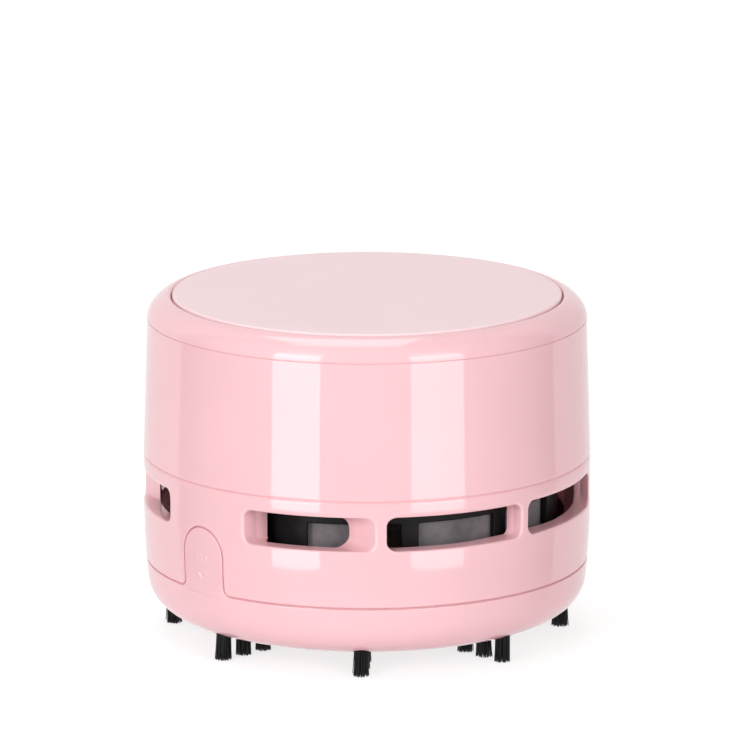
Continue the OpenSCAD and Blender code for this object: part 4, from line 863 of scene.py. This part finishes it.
def make_band():
    skin = Skin()
    windows = all_windows()
    edges = [edge_on(phi, z, into, WINDOW_ROUND + 0.5 * np.clip(-into[:, 1], 0, 1) ** 2)
             for phi, z, into, _, _ in windows]
    phis, zs, outs, xs = seam_line(TAB_HALF + TAB_GAP, TAB_FOOT - TAB_GAP, BAND_BOTTOM_Z, -1)
    on_phi, on_z, on, first = edge_on(phis, zs, outs, BAND_EDGE)
    top_z = BAND_TOP_Z - BAND_TOP_DOWN
    up = np.linspace(BAND_BOTTOM_Z + BAND_EDGE, top_z, 18)[1:-1]
    loops = [between(uz(on_phi, on_z), level(ROUND_U, top_z), up)] + [uz(edge[0], edge[1]) for edge in edges]
    seeds = ring_seeds(ROUND_U, up)
    seeds = seeds[(np.abs(seeds[:, 0]) > 0.7) | (seeds[:, 1] < 26)]
    parting = [(u, z) for z in np.arange(27.2, top_z - 0.2, 0.5) for u in (-0.4, -0.24, -0.12, 0, 0.12, 0.24, 0.4)]
    skin.domain(loops, np.vstack([clear_seeds(seeds, loops, 0.4), parting]), embossed(seam_relief), 0.02)
    # the windows' rounded lips, and their walls with a small step at the ends
    holes = []
    for (phi, z, into, inner_phi, inner_z), (_, _, lip, lip_first) in zip(windows, edges):
        plain = at_radius(inner_phi, inner_z, collar_radius(inner_phi, inner_z))
        step_phi = inner_phi + into[:, 0] * PILLAR_STEP / COLLAR_R
        stepped = at_radius(step_phi, inner_z, collar_radius(step_phi, inner_z))
        rows = edge_rows(at_radius(phi, z, barrel(z)), lip, plain, WINDOW_ROUND, 6, 0)
        end = rows[-1]
        rows += [end + (plain - end) * 0.5, end + (plain - end) * 0.56, end + (stepped - end) * 0.6, stepped]
        skin.wall(rows, lip_first)
        holes.append(uz(step_phi, inner_z))
    # the collar behind them, in the pink that is darkened as painted shade
    bottom, top = level(ROUND_U, COLLAR_BOTTOM_Z), level(ROUND_U, LEDGE_Z)
    collar = shaped(lambda u, z: at_radius(u / BODY_R, z, collar_radius(u / BODY_R, z)), 0.001, flip=True)
    skin.paint = 1
    skin.domain([between(bottom, top, np.linspace(COLLAR_BOTTOM_Z, LEDGE_Z, 12)[1:-1]), *holes],
                lattice(ROUND_U[0], ROUND_U[-1], 23, 33.5, 1.2, 0.9), collar, 0.35)
    skin.paint = 0
    # the seam's edge, its wall and the notch
    pocket_z = COLLAR_BOTTOM_Z - 1.0
    arch = zs > pocket_z + 0.05
    depth = np.where(arch, NOTCH_R, BAND_INNER_R)
    in_phi = wall_phi(phis, xs, depth)
    inner = at_radius(in_phi, zs, depth)
    skin.wall(edge_rows(at_radius(phis, zs, barrel(zs)), on, inner, BAND_EDGE, 5), first, closed=False)
    # the inside below the collar, as one region on each side of the notch, in the painted shade pink
    line = uz(in_phi, zs)
    skin.paint = 1
    for s in (1, -1):
        side = line[~arch & (s * phis > 0)][::s]
        rim = ROUND_U[::-s]
        rim = level(rim[s * rim > s * side[0, 0] + 0.3], pocket_z)
        loop = np.vstack([(side[0, 0], pocket_z), side, [(s * math.pi * BODY_R, z) for z in LOW_ROOM_SIDE_Z], rim])
        skin.domain([loop], lattice(ROUND_U[0], ROUND_U[-1], 15.2, 21, 1.3, 1.4),
                    turned(lambda z: BAND_INNER_R, -1.0), 0.4)
    skin.paint = 0
    # the notch's pocket, whose floor lies behind the tab
    line = line[arch]
    skin.domain([np.vstack([(line[0, 0], pocket_z), line, (line[-1, 0], pocket_z)])],
                lattice(-6, 6, 22, 27, 1.0, 1.0), turned(lambda z: NOTCH_R), 0.4)
    # the cone up to the collar, the ledge and the spigot
    # the cone is in the painted shade pink too
    skin.paint = 1
    skin.lathe([(COLLAR_R, COLLAR_BOTTOM_Z), (BAND_INNER_R, pocket_z)])
    skin.paint = 0
    section = [(COLLAR_R, LEDGE_Z)] + rounded([
        (LEDGE_R, LEDGE_Z, 0.15), (LEDGE_R, BAND_TOP_Z, 0.15), (SPIGOT_IN_R, BAND_TOP_Z, 0),
        (SPIGOT_IN_R, SPIGOT_TOP_Z, 0.3), (SPIGOT_R, SPIGOT_TOP_Z, 0.4), (SPIGOT_R, HOUSING_BOTTOM_Z, 0)])
    # a rib that closes the seam behind its groove, and the band's rolled top edge
    section += [(BODY_R - SEAM_DEPTH, HOUSING_BOTTOM_Z), (BODY_R - SEAM_DEPTH, BAND_TOP_Z)]
    section += [(BODY_R - BAND_TOP_IN * (1 - math.sin(a)), BAND_TOP_Z - BAND_TOP_DOWN * (1 - math.cos(a)))
                for a in every(7.5, 0, 13)]
    skin.lathe(section[::-1])
    # its second material is the pink that is darkened as painted shade
    skin.build("vent_shell", MAT["gloss"], "housing", ["vent_band"], MAT["painted_shade_pink"])


# ---------------------------------------------------------------------------- dust box

BOX_EDGE = 0.22
RIM_DEPTH = 0.6
RIM = 0.26                      # the rim that nearly closes the gap round the tab, behind its groove
MARK_Z, MARK_HALF_W, MARK_H = 17.1, 1.7, 2.0
CREASE_Z, CREASE_HALF_W = 13.5, 4.9
LATCH_HALF_W = 8.0
LATCH_BAR = [(38.1, 16.7, 0.2), (39.6, 16.7, 0.2), (39.6, 19.1, 0.5), (38.1, 19.1, 0.2)]
FLAT_R = 39.4                   # how far out the underside is one flat region
INLET_ROUND = 0.5
SOCKET_R, SOCKET_ROUND, SOCKET_DEPTH = 1.55, 0.25, 1.25


def tab_relief(u, z):
    """The press mark, three short grip ribs over it, and the crease at the tab's foot."""
    # signed distance inside a triangle that points down
    top, tip = MARK_Z + MARK_H / 2, MARK_Z - MARK_H / 2
    side = ((z - tip) * MARK_HALF_W - np.abs(u) * MARK_H) / math.hypot(MARK_HALF_W, MARK_H)
    t = np.clip(np.minimum(top - z, side) / 0.5, 0, 1)
    height = 0.15 * np.sin(math.pi * t) ** 2 + 0.03 * smooth(t)
    for c in (-1.25, -0.1, 1.05):
        height = height + 0.08 * smooth(np.minimum(0.25 - np.abs(u - c), 0.9 - np.abs(z - 20.4)) / 0.22)
    near = np.clip(1 - np.abs(z - CREASE_Z) / 0.3, 0, 1)
    fade = np.clip((CREASE_HALF_W - np.abs(u)) / 0.4, 0, 1)
    return height + 0.12 * (0.5 - 0.5 * np.cos(math.pi * near)) * fade


def dust_outside(skin):
    """The barrel with the tab, its rounded edge, the wall behind it and the tab's back."""
    phis, zs, outs, xs = seam_line(TAB_HALF, TAB_FOOT, RING_TOP_Z, 1)
    on_phi, on_z, on, first = edge_on(phis, zs, outs, BOX_EDGE)
    low_z = ROUND_Z - BASE_ROUND * math.sin(ROUND_END)
    boundary = [between(level(ROUND_U, low_z), uz(on_phi, on_z), [11.6, 12.7])]
    plain = ring_seeds(ROUND_U, np.arange(11.4, 26.2, 0.95))
    u, z = np.abs(plain[:, 0]), plain[:, 1]
    fine_area = (u < 2.1) & (z > 15.8) & (z < 21.7) | (u < CREASE_HALF_W + 0.4) & (np.abs(z - CREASE_Z) < 0.6)
    mark = [(u, z) for z in np.arange(16.0, 21.6, 0.075) for u in np.arange(-1.8, 1.81, 0.075)]
    crease = [(u, CREASE_Z + dz) for dz in (-0.3, -0.22, -0.15, -0.08, 0, 0.08, 0.15, 0.22, 0.3)
              for u in np.arange(-5.1, 5.11, 0.3)]
    seeds = [clear_seeds(plain[~fine_area], boundary, 0.35), clear_seeds(np.array(mark + crease), boundary, 0.08)]
    skin.domain(boundary, np.vstack(seeds), embossed(tab_relief), 0.02)
    tab_part = ~np.isnan(xs) & (zs > RING_TOP_Z + 1.0)
    depth = np.where(tab_part, TAB_INNER_R, RING_IN_R)
    ledge_r = barrel(zs) - RIM_DEPTH
    ledge = at_radius(wall_phi(phis, xs, ledge_r), zs, ledge_r)
    rim_x, rim_z = xs + outs[:, 0] * RIM, zs + outs[:, 1] * RIM
    rim_r = barrel(rim_z) - RIM_DEPTH
    rim = at_radius(wall_phi(phis, rim_x, rim_r), rim_z, rim_r)
    in_phi = wall_phi(phis, rim_x, depth)
    rows = edge_rows(at_radius(phis, zs, barrel(zs)), on, ledge, BOX_EDGE, 5, 1)
    skin.wall(rows + [rim, at_radius(in_phi, rim_z, depth)], first, closed=False)
    skin.domain([uz(in_phi, rim_z)[tab_part]], lattice(-5, 5, 16, 26, 1.0, 1.0),
                turned(lambda z: TAB_INNER_R, -1.0), 0.4)


def latch_bar(skin):
    """The bar behind the tab."""
    half = math.asin(LATCH_HALF_W / 38.9)
    bar = rounded(LATCH_BAR)
    skin.lathe(bar, np.linspace(-half, half, 25), whole=False)
    for end, sign in ((-half, -1.0), (half, 1.0)):
        skin.add([at_radius(end, z, r) for r, z in bar], (sign * math.cos(end), sign * math.sin(end), 0.0))
    skin.web(0.0, 39.3, 40.4, 8.8, 16.9, 18.9)


def dust_underside(skin):
    """The underside with the tufts' sockets."""
    def place(u, v):
        r = np.hypot(u, v)
        tilt = np.clip((r - ROUND_R) / BASE_ROUND, 0, 1)
        lean = tilt / np.maximum(r, 1e-9)
        return (np.stack([u, v, underside(r)], -1), np.stack([lean * u, lean * v, -np.sqrt(1 - tilt ** 2)], -1))

    def ring(x, y, radius, count=40):
        a = circle(count)
        return np.stack([x + radius * np.cos(a), y + radius * np.sin(a)], -1)

    loops = [at_radius(circle(), 0, r)[:, :2] for r in (FLAT_R, INLET_R + INLET_ROUND)]
    loops += [ring(x, y, SOCKET_R + SOCKET_ROUND) for x, y, _ in TUFTS]
    skin.domain(loops, lattice(-40, 40, -40, 40, 1.5, 1.3), place, 0.45)
    for x, y, r in TUFTS:
        (on, first), (sharp, _) = (place(*ring(x, y, SOCKET_R + lip).T) for lip in (SOCKET_ROUND, 0))
        top = sharp.copy()
        top[:, 2] = underside(r) + SOCKET_DEPTH
        skin.wall(edge_rows(sharp, on, top, SOCKET_ROUND, 4, 1), first)
        skin.add(top, (0, 0, -1.0))


def make_dust_box():
    skin = Skin()
    dust_outside(skin)
    latch_bar(skin)
    # lip, inside, floor and inlet
    section = [(RING_IN_R, RING_TOP_Z + RIM)] + rounded([
        (RING_IN_R, LIP_TOP_Z, 0.35), (LIP_IN_R, LIP_TOP_Z, 0.3), (LIP_IN_R, 12.25, 0.2), (39.83, 11.65, 0.3)])
    section += [(ROUND_R + 5 * math.cos(a), ROUND_Z + 5 * math.sin(a)) for a in every(-70 / 12, 0, 13)]
    section += rounded([(36.8, 7.0, 0.1), (34.5, 7.0, 0.2), (33.7, FLOOR_TOP_Z, 0.4), (INLET_OUT_R, FLOOR_TOP_Z, 0.5),
                        (INLET_OUT_R, INLET_TOP_Z, 0.45), (INLET_R, INLET_TOP_Z, 0.45),
                        (INLET_R, BASE_Z + INLET_ROUND, 0)])
    section += quarter(INLET_R, BASE_Z, INLET_ROUND, INLET_ROUND, every(15, 1, 7))
    skin.lathe(section[::-1])
    dust_underside(skin)
    # the rounded edge up to the barrel
    start, end = math.asin((FLAT_R - ROUND_R) / BASE_ROUND), math.pi / 2 - ROUND_END
    skin.lathe([(ROUND_R + BASE_ROUND * math.sin(t), ROUND_Z - BASE_ROUND * math.cos(t))
                for t in (start + (end - start) * k / 14 for k in range(15))])
    skin.build("dust_shell", MAT["gloss"], "dust_tray", ["dust_box"])


# ---------------------------------------------------------------------------- bristles

STRANDS, STRAND_SIDES, STRAND_RINGS = 110, 5, 4
ROOT_R = 1.33
GOLDEN_TURN = 2.399963


def make_tufts():
    """Each tuft is a bundle of fine strands, close together at the root, that splay a little and end unevenly."""
    rng = random.Random(7)
    verts, faces = [], []
    sides, rings = STRAND_SIDES, STRAND_RINGS
    for x, y, r_mid in TUFTS:
        lean_x, lean_y = rng.uniform(-0.02, 0.02), rng.uniform(-0.02, 0.02)
        flare = rng.uniform(1.06, 1.22)
        top = float(underside(r_mid)) + 1.1
        for k in range(STRANDS):
            q = math.sqrt((k + 0.5) / STRANDS)
            a = k * GOLDEN_TURN + rng.uniform(-0.2, 0.2)
            rx, ry = ROOT_R * q * math.cos(a), ROOT_R * q * math.sin(a)
            stray = rng.random() < 0.05
            end_z = rng.uniform(0.0, 0.1) if not stray else rng.uniform(0.0, 0.5)
            if rng.random() < 0.08:
                end_z = rng.uniform(0.1, 0.35)
            spread = flare * (1 + (rng.uniform(0.05, 0.14) if stray else rng.uniform(-0.05, 0.06)))
            ex = rx * spread + lean_x * top + rng.uniform(-0.06, 0.06)
            ey = ry * spread + lean_y * top + rng.uniform(-0.06, 0.06)
            bend = rng.uniform(-0.07, 0.07)
            thick = rng.uniform(0.072, 0.098)
            turn = rng.uniform(0, TAU)
            start = len(verts)
            for t in (i / rings for i in range(rings + 1)):
                s, bow = t ** 1.5, bend * math.sin(math.pi * t)
                cx, cy = x + rx + (ex - rx) * s + bow, y + ry + (ey - ry) * s - bow
                cz = max(0.0, top + (end_z - top) * t)
                width = thick * (1 - 0.18 * t)
                verts += [((cx + width * math.cos(b)) * MM, (cy + width * math.sin(b)) * MM, cz * MM)
                          for b in (turn + j * TAU / sides for j in range(sides))]
            for i in range(rings):
                for j in range(sides):
                    p, n = start + i * sides + j, start + i * sides + (j + 1) % sides
                    faces.append((p, p + sides, n + sides, n))
            faces.append(tuple(start + j for j in range(sides)))
            faces.append(tuple(start + rings * sides + j for j in reversed(range(sides))))
    mesh = bpy.data.meshes.new("brush_tufts")
    mesh.from_pydata(verts, [], faces)
    mesh.polygons.foreach_set("use_smooth", [len(p.vertices) == 4 for p in mesh.polygons])
    mesh.update()
    settle(bpy.data.objects.new("brush_tufts", mesh), MAT["bristle"], "dust_tray", ["bristle_tufts"])


# ---------------------------------------------------------------------------- filter cage and cloth

CAGE_R, CAGE_T = 36.5, 1.3
CAGE_LOW_Z, CAGE_TOP_Z, CAGE_ROUND = 7.0, 30.95, 0.2
CAGE_WINDOW_Z = (9.5, 28.75)
CAGE_WINDOWS = [(29, 56.5), (62, 87), (92, 115), (128, 153)]        # degrees, on both sides
CAGE_REAR_HALF = 22
CAGE_EDGE = 0.28
CAGE_CHORD_Y = 32.67
CAGE_WALL_A = math.radians(26.5)
CLOTH_LOW_Z, CLOTH_TOP_Z = 8.0, 30.25
CLOTH_R, CLOTH_HALF_T, CLOTH_SLACK = 34.935, 0.06, 0.11
CLOTH_PANELS = [(28.2, 52.7), (58.5, 89.3), (89.7, 121.3), (121.7, 155.8)]
CLOTH_REAR_HALF = 23.8


def both_sides(spans, rear_half):
    """Spans of phi in degrees, mirrored and with one at the rear, in radians."""
    spans = spans + [(-b, -a) for a, b in spans] + [(180 - rear_half, 180 + rear_half)]
    return [(math.radians(a), math.radians(b)) for a, b in spans]


def make_cage():
    """The cage is a ring with a flat wall behind the release tab. Its domain starts at phi = -90 degrees."""
    skin = Skin()
    in_r, in_chord = CAGE_R - CAGE_T, CAGE_CHORD_Y - CAGE_T
    in_a = math.acos(in_chord / in_r)

    def wall_of(r, chord, limit, sign):
        """The radius at phi, and place(), of a face that is flat at chord within limit of the tab."""
        def radius(phi):
            turn = (phi + math.pi) % TAU - math.pi
            return np.where(np.abs(turn) < limit, chord / np.cos(np.clip(turn, -0.6, 0.6)), r)

        def place(u, z):
            phi = u / CAGE_R
            n = radial(phi)
            n[np.abs((phi + math.pi) % TAU - math.pi) < limit - 1e-4] = (0.0, -1.0, 0.0)
            return at_radius(phi, z, radius(phi)), sign * n
        return radius, place

    out_radius, out_face = wall_of(CAGE_R, CAGE_CHORD_Y, CAGE_WALL_A, 1.0)
    in_radius, in_face = wall_of(in_r, in_chord, in_a, -1.0)
    phis = np.array(sorted(set(np.round(np.concatenate([
        -math.pi / 2 + np.arange(181) * TAU / 180, [-CAGE_WALL_A, CAGE_WALL_A, -in_a, in_a]]), 9))))
    us = phis * CAGE_R
    z0, z1 = CAGE_LOW_Z + CAGE_ROUND, CAGE_TOP_Z - CAGE_ROUND
    loop = between(level(us, z0), level(us, z1), np.linspace(z0, z1, 14)[1:-1])
    low, high = CAGE_WINDOW_Z
    outer_holes, inner_holes, walls = [], [], []
    for a0, a1 in both_sides(CAGE_WINDOWS, CAGE_REAR_HALF):
        mid, half = (a0 + a1) / 2, (a1 - a0) / 2
        flat, out = rounded_loop(half * CAGE_R, (high - low) / 2, 0.35, 0.8)
        phi, z = mid + flat[:, 0] / CAGE_R, (low + high) / 2 + flat[:, 1]
        inner_phi = mid + np.arcsin(np.clip(np.sin(phi - mid) * CAGE_R / in_r, -1, 1))
        back_phi, back_z = phi + out[:, 0] * CAGE_EDGE / CAGE_R, z + out[:, 1] * CAGE_EDGE
        outer_holes.append(np.stack([back_phi * CAGE_R, back_z], -1))
        inner_holes.append(np.stack([inner_phi * CAGE_R, z], -1))
        walls.append((edge_rows(at_radius(phi, z, out_radius(phi)), at_radius(back_phi, back_z, out_radius(back_phi)),
                                at_radius(inner_phi, z, in_radius(inner_phi)), CAGE_EDGE, 4, 1), radial(back_phi)))
    seeds = lattice(us[0], us[-1], 8, 30.5, 2.4, 2.4)
    skin.domain([loop, *outer_holes], seeds, out_face, 0.7)
    skin.domain([loop, *inner_holes], seeds, in_face, 0.7)
    for rows, first in walls:
        skin.wall(rows, first)
    out_n, ro, ri = radial(phis), out_radius(phis), in_radius(phis)
    for z_face, z_edge, up in ((CAGE_LOW_Z, z0, (0, 0, -1.0)), (CAGE_TOP_Z, z1, (0, 0, 1.0))):
        rows = [at_radius(phis, z_edge, ro), at_radius(phis, z_face, ro - CAGE_ROUND),
                at_radius(phis, z_face, ri + CAGE_ROUND), at_radius(phis, z_edge, ri)]
        skin.strip(rows[:2], [out_n, out_n + up], closed=False)
        skin.strip(rows[1:3], up, closed=False)
        skin.strip(rows[2:], [up - out_n, -out_n], closed=False)
    skin.build("cage_frame", MAT["black"], "dust_tray", ["filter_cage"])


def make_cloth():
    """Nine panels of fine mesh behind the cage's windows, slightly slack between the bars."""
    low, high = CLOTH_LOW_Z, CLOTH_TOP_Z
    rng = random.Random(11)
    for number, (a0, a1) in enumerate(both_sides(CLOTH_PANELS, CLOTH_REAR_HALF)):
        nu, nv = max(12, int((a1 - a0) * 35 / 0.7)), 30
        draws = [rng.uniform(0, TAU) for _ in range(6)]         # the last three are drawn, but not used
        v, u = np.meshgrid(np.arange(nv + 1) / nv, np.arange(nu + 1) / nu, indexing="ij")
        phi, z = a0 + (a1 - a0) * u, low + (high - low) * v
        hold = np.sin(math.pi * u) * np.sin(math.pi * v)
        folds = 0.6 * np.sin(5 * u * math.pi + draws[0]) * np.sin(3 * v * math.pi + draws[1])
        folds += 0.4 * np.sin(9 * v + draws[2] + 4 * u)
        r_mid = CLOTH_R - CLOTH_SLACK * hold * (1 + folds)
        outer, inner = (at_radius(phi, z, r_mid + t) for t in (CLOTH_HALF_T, -CLOTH_HALF_T))
        normals = np.cross(np.gradient(outer, axis=1), np.gradient(outer, axis=0))
        skin = Skin()
        skin.strip(outer, normals, closed=False)
        skin.strip(inner, -normals, closed=False)
        for row, n in ((0, (0, 0, -1.0)), (-1, (0, 0, 1.0))):
            skin.strip([outer[row], inner[row]], n, closed=False)
        for column, sign, a in ((0, -1.0, a0), (-1, 1.0, a1)):
            n = (sign * math.cos(a), sign * math.sin(a), 0.0)
            skin.strip([outer[:, column], inner[:, column]], n, closed=False)
        panel = skin.build(f"mesh_panel_{number + 1}", MAT["cloth"], "dust_tray", ["filter_cloth"])


# ---------------------------------------------------------------------------- switch knob

KNOB_X, KNOB_Y, KNOB_T = -1.5, 40.54, 0.75
KNOB_HALF_W, KNOB_HALF_H, KNOB_CORNER, KNOB_EDGE = 4.7, 2.7, 0.8, 0.25
STEM_Y, STEM_HALF_W, STEM_HALF_H = 38.95, 1.9, 1.6
RIDGE_H = 0.38


def knob_face(u, v):
    """The knob's face, with three ridges across it."""
    ends = np.clip((KNOB_HALF_H - 0.75 - np.abs(v)) / 0.3, 0, 1)
    h = 0.0
    for c in (-2.0, 0.0, 2.0):
        q = np.clip((1 - np.abs(u - c) / 0.5) * 1.5, 0, 1)
        h = h + RIDGE_H * np.sqrt(1 - (1 - q) ** 2)
    return np.stack([u + KNOB_X, KNOB_Y + KNOB_T + h * ends, v + SWITCH_Z], -1)


def make_knob():
    skin = Skin()
    w = KNOB_EDGE
    loop, out = rounded_loop(KNOB_HALF_W, KNOB_HALF_H, KNOB_CORNER, 0.4)
    levels = [(0.0, KNOB_Y)] + quarter(0.0, KNOB_Y + KNOB_T, w, -w, every(15, 0, 7))
    rows = [upright(loop - out * inset + (KNOB_X, 0), y, SWITCH_Z) for inset, y in levels]
    normals = own_normals(rows, upright(out))
    normals[-1] = (0.0, 1.0, 0.0)
    skin.strip(rows, normals)
    seeds = np.array([(a, b) for a in np.arange(-4.3, 4.31, 0.1) for b in np.arange(-2.3, 2.31, 0.15)])
    skin.domain([loop - out * w], seeds, shaped(knob_face, 0.01, flip=True), 0.12)
    skin.add(rows[0], (0, -1.0, 0))
    skin.box([(KNOB_X + sx * STEM_HALF_W, y, SWITCH_Z + sz * STEM_HALF_H) for sz in (-1, 1)
              for sx, y in ((-1, STEM_Y), (1, STEM_Y), (1, KNOB_Y), (-1, KNOB_Y))])
    skin.build("knob_cap", MAT["matte"], "switch", ["switch_knob"])


# ---------------------------------------------------------------------------- carried-over CAD parts

CAD_FINISH = {
    "inside": ["motor_deck"], "rubber": ["seal_ring", "motor_gasket"], "steel": ["motor_can", "switch_body"],
    "nylon": ["motor_end_cap", "impeller"], "bronze": ["motor_bushes"], "magnet": ["motor_magnets"],
    "brass": ["motor_terminals"], "tray": ["motor_clamp", "battery_tray", "switch_actuator"],
    "screw": ["clamp_screws", "motor_shaft", "switch_screws", "housing_screws", "tray_screws"],
    "contact": ["bridge_contact", "rear_contacts", "contact_springs"], "armature": ["armature"],
    "cell": ["battery_left", "battery_right"],
    "lead_red": ["lead_red"], "lead_black": ["lead_black"], "lead_yellow": ["lead_yellow"],
}
# width of the rounding that a part's edges get, in mm
BEVELS = {"motor_deck": 0.25, "motor_can": 0.35, "motor_end_cap": 0.3, "motor_clamp": 0.25, "battery_tray": 0.2,
          "battery_left": 0.45, "battery_right": 0.45, "impeller": 0.18, "switch_body": 0.15, "clamp_screws": 0.2,
          "housing_screws": 0.25, "tray_screws": 0.25}


def dress_cad():
    for name, finish in ((name, finish) for finish, names in CAD_FINISH.items() for name in names):
        ob = NODES[name]
        ob.data.materials.clear()
        ob.data.materials.append(MAT[finish])
        ob.modifiers.new("weld", "WELD").merge_threshold = 1e-6
        if name in BEVELS:
            bevel = ob.modifiers.new("bevel", "BEVEL")
            bevel.width = BEVELS[name] * MM
            bevel.segments = 2
            bevel.limit_method = "ANGLE"
            bevel.angle_limit = math.radians(38)
            bevel.harden_normals = False


# ---------------------------------------------------------------------------- stage, in metres

AMBIENT = 0.30                  # what the room adds to matt surfaces
SIDE_FALL = 0.16                # and how much darker its right side is
SOFTBOX_DISTANCE, SOFTBOX_Z = 1.5, 0.03
# degrees to the camera's side, half of its width in degrees, and how bright it is
SOFTBOXES = [("softbox_left", -36.4, 12.7, 4.5), ("softbox_right", 36.2, 14.0, 3.6)]
# parts of each softbox: where it starts and ends, in degrees of elevation, and how bright it is
SOFTBOX_PARTS = [("low", -17.3, 12.0, 1.0), ("middle", 12.0, 28.0, 1.5), ("high", 28.0, 42.0, 0.5)]
OVERHEAD = 2.9
BACK_FILL = 1.5
FLOOR_LIFT = 0.76
FLOOR_HALF, FLOOR_Z = 8.0, -0.00005
# the room that glossy surfaces see, from behind the object round to the camera: place and strength
ROOM = [(0.0, 1.0), (0.300, 1.0), (0.310, 0.2), (0.40, 0.2), (0.50, 0.5), (1.0, 0.6)]


def soft_light(name, width, height, radiance, location, turn):
    """A rectangular soft light."""
    data = bpy.data.lights.new(name, "AREA")
    data.shape = "RECTANGLE"
    data.size, data.size_y = width, height
    data.energy = radiance * math.pi * width * height
    light = link(bpy.data.objects.new(name, data))
    light.location = location
    light.rotation_mode = "QUATERNION"
    light.rotation_quaternion = turn
    light.visible_camera = False
    return light


def make_stage():
    front = towards(CAM_AZIMUTH, 0)
    right = Vector((-front.y, front.x, 0))
    # upright softboxes at both sides of the camera, whose mirror images are the two bright strips on the body
    for name, azimuth, half_deg, radiance in SOFTBOXES:
        back = towards(CAM_AZIMUTH + math.radians(azimuth), 0.0)
        width = 2 * SOFTBOX_DISTANCE * math.tan(math.radians(half_deg))
        for part, low, high, gain in SOFTBOX_PARTS:
            low, high = (SOFTBOX_DISTANCE * math.tan(math.radians(a)) for a in (low, high))
            place = back * SOFTBOX_DISTANCE
            place.z = SOFTBOX_Z + (low + high) / 2
            soft_light(name + "_" + part, width, high - low, radiance * gain, place, looking(back))
    # a softbox over the object, a little behind it and to its left
    soft_light("overhead", 0.58, 0.66, OVERHEAD, -right * 0.11 - front * 0.17 + Vector((0, 0, 1.06)),
               Quaternion((0, 0, 1), CAM_AZIMUTH))
    # a weak light from behind, which only matt surfaces show
    back = towards(CAM_AZIMUTH + math.pi, math.radians(12))
    fill = soft_light("back_fill", 1.2, 0.8, BACK_FILL, Vector((0, 0, SOFTBOX_Z)) + back * 1.4, looking(back))
    fill.visible_glossy = False

    mesh = bpy.data.meshes.new("floor")
    mesh.from_pydata([(x * FLOOR_HALF, y * FLOOR_HALF, 0) for x, y in ((-1, -1), (1, -1), (1, 1), (-1, 1))], [],
                     [(0, 1, 2, 3)])
    floor = link(bpy.data.objects.new("floor", mesh))
    floor.location.z = FLOOR_Z
    mesh.materials.append(floor_material())
    floor.visible_glossy = False
    make_world(front, right)


def make_world(front, right):
    """A white room to the camera. Glossy surfaces see a white backdrop behind the object, a dimmer studio in front of
    it and the white table below. Matt ones are lit a little less from the right."""
    world = bpy.data.worlds.new("world")
    bpy.context.scene.world = world
    world.use_nodes = True
    tree = world.node_tree

    def dot(vector, axis):
        return add_node(tree, "VectorMath", {0: vector, 1: axis}, operation="DOT_PRODUCT").outputs["Value"]

    def mix(factor, a, b):
        return add_node(tree, "Mix", {"Factor": factor, "A": a, "B": b}).outputs["Result"]

    direction = add_node(tree, "TexCoord").outputs["Generated"]
    flat = add_node(tree, "VectorMath", {0: direction, 1: (1, 1, 0)}, operation="MULTIPLY").outputs[0]
    flat = add_node(tree, "VectorMath", {0: flat}, operation="NORMALIZE").outputs[0]
    room = add_node(tree, "ValToRGB", {"Fac": remap(tree, dot(flat, front), -1, 1)})
    points = room.color_ramp.elements
    while len(points) < len(ROOM):
        points.new(0.5)
    for point, (place, value) in zip(points, ROOM):
        point.position = place
        point.color = (value, value, value, 1)
    table = remap(tree, dot(direction, (0, 0, 1)), -0.37, -0.29, 0.95, 0.0)
    shiny = combine(tree, "MAXIMUM", room.outputs["Color"], table)
    matt = remap(tree, dot(direction, right), -1, 1, AMBIENT + SIDE_FALL, AMBIENT - SIDE_FALL)
    path = add_node(tree, "LightPath").outputs
    mirror = combine(tree, "MAXIMUM", path["Is Glossy Ray"], path["Is Transmission Ray"])
    feed(tree.nodes["Background"], {"Color": (1, 1, 1, 1),
                                    "Strength": mix(path["Is Camera Ray"], mix(mirror, matt, shiny), 1.0)})


def floor_material():
    """A pale floor that shows white and keeps a soft shadow of the object. From below it lets the view through."""
    material = bpy.data.materials.new("pale_floor")
    material.use_nodes = True
    tree = material.node_tree
    tree.nodes.clear()

    def shader(kind, inputs={}):
        return add_node(tree, kind, inputs).outputs[0]

    camera = add_node(tree, "LightPath").outputs["Is Camera Ray"]
    lit = shader("BsdfDiffuse", {"Color": (0.86, 0.86, 0.86, 1)})
    shown = shader("AddShader", {0: shader("BsdfDiffuse", {"Color": (0.38, 0.38, 0.38, 1)}),
                                 1: shader("Emission", {"Strength": FLOOR_LIFT})})
    below = combine(tree, "MULTIPLY", add_node(tree, "NewGeometry").outputs["Backfacing"], camera)
    above = shader("MixShader", {0: camera, 1: lit, 2: shown})
    surface = shader("MixShader", {0: below, 1: above, 2: shader("BsdfTransparent")})
    add_node(tree, "OutputMaterial", {"Surface": surface})
    return material


# ---------------------------------------------------------------------------- everything together

dress_cad()
make_cover()
make_disc()
make_housing()
make_band()
make_dust_box()
make_tufts()
make_cage()
make_cloth()
make_knob()
make_stage()

bpy.context.scene.view_settings.view_transform = "Standard"
